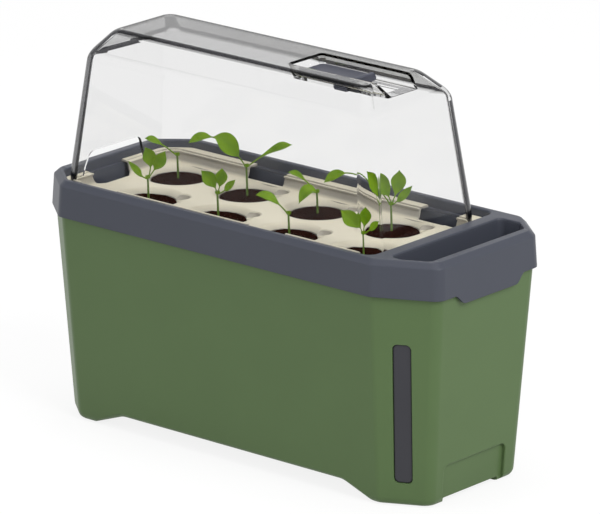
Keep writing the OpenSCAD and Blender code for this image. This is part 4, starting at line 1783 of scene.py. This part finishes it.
@dataclass
class SoilPlug:
    """Pressed plug with a crumbly top.

    Attributes:
        plan: shared sizes.
        index: hole that it sits in.
        heap: how far its top stands up in the middle.
        heap_bend: how steeply the heap falls to its edge.
        heap_span: shares of the radius at which the uneven top begins and ends.
        crumb: height of the crumbs.
        crumb_mm: size of the crumbs.
        apart: distance between the crumb patterns of two plugs.
        smooth: edge angle in degrees up to which it is shaded smooth.
    """

    plan: Plan
    index: int
    top_r: float = 21.1
    foot_r: float = 19.7
    foot_break: float = 0.8
    shoulder: float = 1.6
    heap: float = 1.5
    heap_bend: int = 8
    heap_span: tuple[float, float] = (0.985, 0.03)
    heap_rings: int = 22
    crumb: float = 0.42
    crumb_mm: float = 3.2
    apart: float = 31.0
    smooth: float = 80.0

    def build(self) -> Object:
        """Builds the plug with its uneven top.

        Returns:
            The plug, in millimetres.
        """
        top, foot, brk = self.plan.soil_z, self.plan.plug_z, self.foot_break
        profile = [(self.foot_r - brk, foot), (self.foot_r, foot + brk), (self.top_r, top - self.shoulder)]
        sides = len(profile)
        for part in np.linspace(*self.heap_span, self.heap_rings):
            profile.append((self.top_r * part, top + self.heap * (1 - part**self.heap_bend)))
        rings = turned(profile, self.plan.hole(self.index), 72)
        for point in (point for level in rings[sides:] for point in level):
            place = Vector((point[0], point[1], self.index * self.apart)) / self.crumb_mm
            point[2] += self.crumb * noise.fractal(place, 0.8, 2.1, 3)
        return solid(f"soil_{self.index + 1}", rings)

    def dress(self, soil: Material) -> None:
        """Builds the plug and dresses it in its finish."""
        make_piece(self.build(), soil, "tray", "soil", f"soil_plug_{self.index + 1}", angle=self.smooth)


@dataclass(frozen=True)
class Leaf:
    """One leaf of a sprout, placed from the top of its stem.

    Attributes:
        tip: where the tip lies: to the photograph's right, up, and towards the camera.
        width: widest part of the blade.
        arch: how far the middle of the leaf rises above the straight line to its tip.
        fold: how far the blade's edges turn up, as a share of its half width.
        start: share of the length at which the blade begins.
        lean: turn of the blade about its length, in degrees; 0 shows the top to the sky, 90 to the camera.
        bow: how far the middle of the leaf swings to the right of that line.
        belly: share of the blade's length at which it is widest.
    """

    tip: tuple[float, float, float]
    width: float
    arch: float = 3.0
    fold: float = 0.25
    start: float = 0.3
    lean: float = 35.0
    bow: float = 0.0
    belly: float = 0.45


@dataclass
class Sprout:
    """Seedling: a stem in its plug with seed leaves on thin stalks and a bud at the top.

    Attributes:
        plan: shared sizes.
        index: hole that it grows in.
        tall: height of the stem above the soil.
        leaves: its leaves.
        bend: how far the stem's top leans, to the right and towards the camera.
        right: x and y of the level direction to the photograph's right.
        rooted: how far the stem goes down into the plug.
        sunk: how far below the stem's top the leaves begin.
        tip_half: half width of a leaf's tip.
        vein: depth of the groove along the middle of a blade.
        vein_tight: how narrow that groove is.
        smooth: edge angle in degrees up to which it is shaded smooth.
    """

    plan: Plan
    index: int
    tall: float
    leaves: tuple[Leaf, ...]
    bend: tuple[float, float] = (-0.6, 0.0)
    right: tuple[float, float] = (0.758, 0.652)
    stem_r: float = 0.95
    stem_taper: float = 0.22
    stem_rings: int = 14
    stem_points: int = 14
    stalk_r: float = 0.45
    blade_t: float = 0.5
    rooted: float = 6.0
    sunk: float = 0.6
    tip_half: float = 0.12
    vein: float = 0.18
    vein_tight: float = 6.0
    smooth: float = 70.0

    def axes(self) -> tuple[np.ndarray, np.ndarray, np.ndarray]:
        """Level directions to the photograph's right and towards the camera, and up."""
        x, y = self.right
        return np.array([x, y, 0.0]), np.array([y, -x, 0.0]), np.array([0.0, 0.0, 1.0])

    def top(self) -> np.ndarray:
        """Finds the top of the stem.

        Returns:
            Its point.
        """
        side, near, _ = self.axes()
        x, y = self.plan.hole(self.index)
        return np.array([x, y, self.plan.soil_z + self.tall]) + side * self.bend[0] + near * self.bend[1]

    def stem(self) -> Rings:
        """The stem, a little bent and thicker at its foot.

        Returns:
            Its rings.
        """
        x, y = self.plan.hole(self.index)
        foot, top = np.array([x, y, self.plan.soil_z - self.rooted]), self.top()
        rings = []
        for t in np.linspace(0, 1, self.stem_rings):
            at = foot + (top - foot) * t
            at[:2] = foot[:2] + (top[:2] - foot[:2]) * t**2
            flat = circle(self.stem_r * (1 - self.stem_taper * t), at[:2], self.stem_points)
            rings.append(np.column_stack([flat, np.full(self.stem_points, at[2])]))
        return rings

    def blade(self, leaf: Leaf, ribs: int = 26, across: int = 9) -> Rings:
        """A leaf: a thin stalk that widens to a cupped, pointed blade.

        Args:
            leaf: its sizes.
            ribs: rings along it.
            across: points across its upper side.

        Returns:
            Its rings.
        """
        side, near, up = self.axes()
        base = self.top() - up * self.sunk
        tip = side * leaf.tip[0] + up * leaf.tip[1] + near * leaf.tip[2]
        mid = tip * 0.5 + up * leaf.arch + side * leaf.bow
        power = math.log(0.5) / math.log(leaf.belly)
        lean = math.radians(leaf.lean)
        rings = []
        for t in np.linspace(0, 1, ribs):
            at = base + 2 * t * (1 - t) * mid + t * t * tip
            along = 2 * (1 - 2 * t) * mid + 2 * t * tip
            along = along / np.linalg.norm(along)
            face = up * math.cos(lean) + near * math.sin(lean)
            face = face - along * np.dot(face, along)
            face = face / np.linalg.norm(face)
            wing = np.cross(along, face)
            u = min(1.0, max(0.0, (t - leaf.start) / (1 - leaf.start)))
            half = self.stalk_r
            if 0 < u < 1:
                half += leaf.width / 2 * math.sin(math.pi * u**power) ** 0.8
            half = max(self.tip_half, half * (1 - u**10))
            flat, cupped = min(1, 4 * u), min(1, 5 * u)
            thin = self.stalk_r * (1 - flat) + self.blade_t / 2 * flat * (1 - 0.6 * u**6)
            points = []
            for top_side in (1, -1):
                for s in np.linspace(-1, 1, across)[::top_side]:
                    edge = math.sqrt(max(0.0, 1 - s**6))
                    groove = self.vein * math.exp(-((s * self.vein_tight) ** 2))
                    rise = leaf.fold * half * s * s * cupped - groove * cupped
                    points.append(at + wing * half * s + face * (rise + top_side * thin * edge))
            rings.append(np.array(points[:across] + points[across + 1 : -1]))
        return rings

    def bud(self) -> list[Rings]:
        """The two first leaf points at the top of the stem.

        Returns:
            The rings of each.
        """
        right = Leaf((1.8, 3.2, 0.6), 2.0, 0.6, 0.4, 0.1, 60)
        left = Leaf((-1.6, 2.6, -0.6), 1.8, 0.5, 0.4, 0.1, 40)
        return [self.blade(one, 10, 7) for one in (right, left)]

    def build(self, leaf: Material, stem: Material) -> Object:
        """Builds the sprout with its two finishes.

        Args:
            leaf: finish of the blades.
            stem: finish of the stem.

        Returns:
            The sprout, in millimetres.
        """
        blades = [self.blade(one) for one in self.leaves]
        made = solid(f"sprout_{self.index + 1}", self.stem(), *blades, *self.bud())
        made.data.materials.append(leaf)
        made.data.materials.append(stem)
        stem_faces = (self.stem_rings - 1) * self.stem_points + 2
        for i in range(stem_faces):
            made.data.polygons[i].material_index = 1
        return made

    def dress(self, leaf: Material, stem: Material) -> None:
        """Builds the sprout and dresses it in its two finishes."""
        made = self.build(leaf, stem)
        make_piece(made, leaf, "tray", "leaf_green", f"seedling_{self.index + 1}", angle=self.smooth)


# Height of each stem above its soil, and its leaves
SPROUTS: tuple[tuple[float, tuple[Leaf, ...]], ...] = (
    (19.5, (Leaf((-24.6, 14.8, 2), 7, 5, 0.3, 0.45, 25, belly=0.6),)),
    (
        24.0,
        (
            Leaf((-24.5, 25.5, 4), 14.5, 8, 0.35, 0.24, 50, belly=0.5),
            Leaf((34.5, 17, -3), 9.5, 6, 0.3, 0.15, 20, belly=0.75),
            Leaf((-43.5, 18, -4), 7.5, 26, 0.3, 0.62, 35, belly=0.5),
        ),
    ),
    (
        17.5,
        (
            Leaf((-13.5, -7, 5), 10, 12, 0.3, 0.05, 25),
            Leaf((-21.6, 14, -8), 6.5, 7, 0.3, 0.4, 15, belly=0.6),
        ),
    ),
    (
        21.5,
        (
            Leaf((-17.5, 28, 5), 12.5, -2, 0.45, 0.3, 70, 8.5, 0.6),
            Leaf((6, 28, 2), 10.5, 0, 0.45, 0.3, 75, 3, 0.6),
            Leaf((15.7, 16, 2), 5.5, -3, 0.4, 0.3, 50),
            Leaf((-47.7, 16, -6), 8, 30, 0.3, 0.68, 35, belly=0.5),
        ),
    ),
    (
        19.0,
        (
            Leaf((-1.7, 26, 4), 9.5, 0, 0.45, 0.38, 70, 6, 0.58),
            Leaf((13.5, 23, 4), 9, -2, 0.45, 0.38, 70, 0, 0.55),
            Leaf((-14.3, 15, 3), 5.5, -5, 0.5, 0.3, 35),
        ),
    ),
    (
        20.5,
        (
            Leaf((-12, 20, 5), 9.5, -1, 0.45, 0.3, 70, 5, 0.6),
            Leaf((3.5, 21, 2), 8.5, 0, 0.45, 0.3, 70, 1.5, 0.58),
            Leaf((13.5, 12, 2), 5, -3, 0.4, 0.4, 45),
        ),
    ),
    (18.5, (Leaf((-24, 16, 3), 8, 9, 0.3, 0.3, 30, belly=0.5),)),
    (
        17.0,
        (
            Leaf((-14.8, 20.5, 5), 10.5, -1, 0.45, 0.3, 70, 5, 0.6),
            Leaf((2.2, 22, 2), 9.5, 0, 0.45, 0.3, 70, 1, 0.6),
            Leaf((14.2, 11, 2), 5.5, -1, 0.4, 0.4, 40),
        ),
    ),
)


# Studio


@dataclass(frozen=True)
class Softbox:
    """Square lamp with an even face.

    Attributes:
        name: name of the lamp.
        at: where it hangs, in metres.
        size: its side, in metres.
        power: its power, in watts.
    """

    name: str
    at: tuple[float, float, float]
    size: float
    power: float


@dataclass(frozen=True)
class Studio:
    """White studio: pale floor, soft light from the upper right, camera at the photograph's angle.

    Attributes:
        azimuth: camera's turn from the front towards +X, in degrees.
        elevation: camera's height angle, in degrees.
        distance: from the camera to its target.
        target: point in the middle of the picture.
        lens: focal length for the sensor's width.
        ambient: even light on the object.
        ceiling: brightness of the ceiling that gloss and glass show.
        ceiling_span: height of the view at which the walls end and the ceiling is reached.
        floor_glow: brightness of the floor itself where it is seen.
        floor_seen: share of the lamps' light that the floor shows, which keeps a faint shadow.
        floor_bounce: share of the light that the floor throws back on the object.
        floor_half: half length of the floor, in metres.
        lamps: the softboxes.
    """

    azimuth: float = 40.672
    elevation: float = 17.325
    distance: float = 4492.202
    target: tuple[float, float, float] = (5.313, 4.565, 145.174)
    lens: float = 361.53
    sensor: float = 36.0
    ambient: float = 0.42
    ceiling: float = 0.3
    ceiling_span: tuple[float, float] = (0.35, 0.7)
    floor_glow: float = 0.86
    floor_seen: float = 0.15
    floor_bounce: float = 0.7
    floor_half: float = 6.0
    lamps: tuple[Softbox, ...] = (
        Softbox("key from the right", (2.6, -0.5, 2.2), 1.6, 64),
        Softbox("fill from the front", (-0.9, -2.8, 1.9), 1.8, 20),
        Softbox("top", (-0.3, 0.3, 3.0), 2.0, 34),
    )

    def camera(self) -> None:
        """Sets the camera."""
        az, el = math.radians(self.azimuth), math.radians(self.elevation)
        back = Vector((math.sin(az) * math.cos(el), -math.cos(az) * math.cos(el), math.sin(el)))
        data = bpy.data.cameras.new("camera")
        data.sensor_width = self.sensor
        data.lens = self.lens
        data.clip_end = 100
        made = bpy.data.objects.new("camera", data)
        bpy.context.scene.collection.objects.link(made)
        made.location = (Vector(self.target) + back * self.distance) * MM
        made.rotation_euler = back.to_track_quat("Z", "Y").to_euler()
        bpy.context.scene.camera = made

    def seen(self, tree: NodeTree) -> Any:
        """Adds the test for what the camera sees directly, through gloss and glass too.

        Args:
            tree: node tree that it goes in.

        Returns:
            Output that is 1 for the camera's own view, and 0 for light on the object.
        """
        path = add(tree, "ShaderNodeLightPath").outputs
        rays = {0: path["Is Glossy Ray"], 1: path["Is Transmission Ray"]}
        shine = add(tree, "ShaderNodeMath", rays, operation="MAXIMUM")
        first = add(tree, "ShaderNodeMath", {0: path["Diffuse Depth"], 1: 0.5}, operation="LESS_THAN")
        both = {0: shine.outputs[0], 1: first.outputs[0]}
        direct = add(tree, "ShaderNodeMath", both, operation="MULTIPLY")
        either = {0: path["Is Camera Ray"], 1: direct.outputs[0]}
        return add(tree, "ShaderNodeMath", either, operation="MAXIMUM").outputs[0]

    def world(self) -> None:
        """White walls and a grey ceiling for camera, gloss and glass, a soft even light for the rest."""
        made = bpy.data.worlds.new("white studio")
        made.use_nodes = True
        tree = made.node_tree
        tree.nodes.clear()
        place = add(tree, "ShaderNodeTexCoord").outputs["Generated"]
        way = add(tree, "ShaderNodeSeparateXYZ", {"Vector": place})
        low, high = self.ceiling_span
        span = {"From Min": low, "From Max": high, "To Min": 1.0, "To Max": self.ceiling}
        fall = add(tree, "ShaderNodeMapRange", {"Value": way.outputs["Z"], **span})
        view = {"Value": self.seen(tree), "To Min": self.ambient, "To Max": fall.outputs["Result"]}
        level = add(tree, "ShaderNodeMapRange", view)
        white = {"Color": (1, 1, 1, 1), "Strength": level.outputs["Result"]}
        sky = add(tree, "ShaderNodeBackground", white)
        out = add(tree, "ShaderNodeOutputWorld")
        tree.links.new(sky.outputs["Background"], out.inputs["Surface"])
        bpy.context.scene.world = made

    def floor(self) -> None:
        """Pale floor that reads as white and keeps a faint shadow."""
        mesh = bpy.data.meshes.new("floor")
        far = self.floor_half
        mesh.from_pydata([(-far, -far, 0), (far, -far, 0), (far, far, 0), (-far, far, 0)], [], [(0, 1, 2, 3)])
        made = bpy.data.objects.new("floor", mesh)
        bpy.context.scene.collection.objects.link(made)
        paper, tree, out, _ = blank("white paper, matt")
        seen = self.seen(tree)
        tones = {"Value": seen, "To Min": self.floor_bounce, "To Max": self.floor_seen}
        pale = add(tree, "ShaderNodeMapRange", tones)
        matt = add(tree, "ShaderNodeBsdfDiffuse", {"Color": pale.outputs["Result"]})
        glow = add(tree, "ShaderNodeMath", {0: seen, 1: self.floor_glow}, operation="MULTIPLY")
        lit = add(tree, "ShaderNodeEmission", {"Strength": glow.outputs[0]})
        both = add(tree, "ShaderNodeAddShader", {0: matt.outputs["BSDF"], 1: lit.outputs["Emission"]})
        tree.links.new(both.outputs["Shader"], out.inputs["Surface"])
        mesh.materials.append(paper)

    def hang(self, lamp: Softbox) -> None:
        """Hangs a softbox and aims it at the middle of the picture; clear walls don't show it.

        Args:
            lamp: the softbox.
        """
        data = bpy.data.lights.new(lamp.name, "AREA")
        data.shape = "SQUARE"
        data.size = lamp.size
        data.energy = lamp.power
        made = bpy.data.objects.new(lamp.name, data)
        bpy.context.scene.collection.objects.link(made)
        made.location = lamp.at
        aim = Vector(lamp.at) - Vector(self.target) * MM
        made.rotation_euler = aim.to_track_quat("Z", "Y").to_euler()
        made.visible_transmission = False

    def build(self) -> None:
        """Sets the camera, the surroundings and the lamps."""
        self.camera()
        self.world()
        self.floor()
        for lamp in self.lamps:
            self.hang(lamp)
        bpy.context.scene.view_settings.view_transform = "Standard"


def main() -> None:
    """Builds the pieces in order and dresses them."""
    plan = Plan()
    # Leaf green tank: even satin, no mirror image, soft light along its edges
    green = MouldedPlastic("polypropylene, moulded satin green", "#586f46", 0.42).make()
    # Blue-grey collar: the same satin, a little tighter in its gloss
    slate = MouldedPlastic("polypropylene, moulded satin slate", "#474a54", 0.4).make()
    # Warm cream tray: pale and smooth, with a painted shade that greys its upright walls
    cream = MouldedPlastic(
        "polystyrene, moulded satin cream", "#dcd5c0", 0.4, drift=0.02, upright="#aaa59a"
    ).make()
    # Slide: a slate of its own, a trace bluer than the collar
    light = MouldedPlastic("polypropylene, moulded slide grey", "#494b56", 0.42).make()
    # Float cage: near black and dull
    dark = MouldedPlastic("polypropylene, moulded black", "#2b2b30", 0.5).make()
    # Float: off-white with the coarse skin of a foam
    white = MouldedPlastic("polyethylene foam, moulded white", "#d2d2cc", 0.7, 1.6, 0.3).make()
    # Seal: black and matt
    rubber = MouldedPlastic("nitrile rubber, moulded", "#1a1a1a", 0.8).make()
    # Gauge window: dark grey, with a sharp gloss
    smoke = MouldedPlastic(
        "polycarbonate, smoked and polished", "#36363c", 0.14, relief=0.01, ior=1.58
    ).make()
    # Cover: its flat walls all but vanish, with a painted grey shade only at their edges
    clear = ClearPlastic("styrene, clear and polished").make()
    # Its bends: a painted shade in thin dark lines where the eye looks along the wall
    bent = ClearPlastic("styrene, clear, at the bends", edge_shade_span=(0.26, 0.42), edge="#08080a").make()
    # Its front left corner: a broader, softer painted grey shade
    wide = ClearPlastic("styrene, clear, at the left corner", edge_shade_span=(0.14, 0.26), edge="#404042").make()
    # Its vent channel: lighter painted grey shade in lines close together
    fine = ClearPlastic("styrene, clear, in the vent channel", edge_shade_span=(0.45, 0.95), edge="#4c4c50").make()
    # Mat and wicks: pale, dull and fuzzy
    felt = NeedledFelt().make()
    # Plugs: dark brown crumbs without any gloss
    soil = PressedSoil().make()
    # Leaves: fresh green in paler and darker patches, faintly lit from behind
    leaf = YoungLeaf("seed leaf, waxy", "#467200", "#8aac22", 0.15).make()
    # Stems: a paler, duller green
    stem = YoungLeaf("seed stem, pale green", "#4c6a22", "#6f8840", 0.1).make()

    tank, felts, cover = WaterTank(plan), WickFelt(plan), ClearCover(plan)
    tank.dress(green)
    WaterGauge(tank).dress(smoke)
    Collar(plan).dress(slate, felts)
    felts.dress(felt)
    SeedlingTray(plan, cover).dress(cream)
    cover.dress((clear, bent, wide, fine))
    VentSlide(cover).dress(light)
    for i, (tall, leaves) in enumerate(SPROUTS):
        SoilPlug(plan, i).dress(soil)
        Sprout(plan, i, tall, leaves).dress(leaf, stem)
        coat(f"plug_cup_{i + 1}", cream)
    coat("gauge_seal", rubber)
    coat("float_cage", dark)
    coat("level_float", white)
    Studio().build()


if __name__ == "__main__":
    logging.basicConfig(level=logging.INFO, format="%(message)s")
    main()
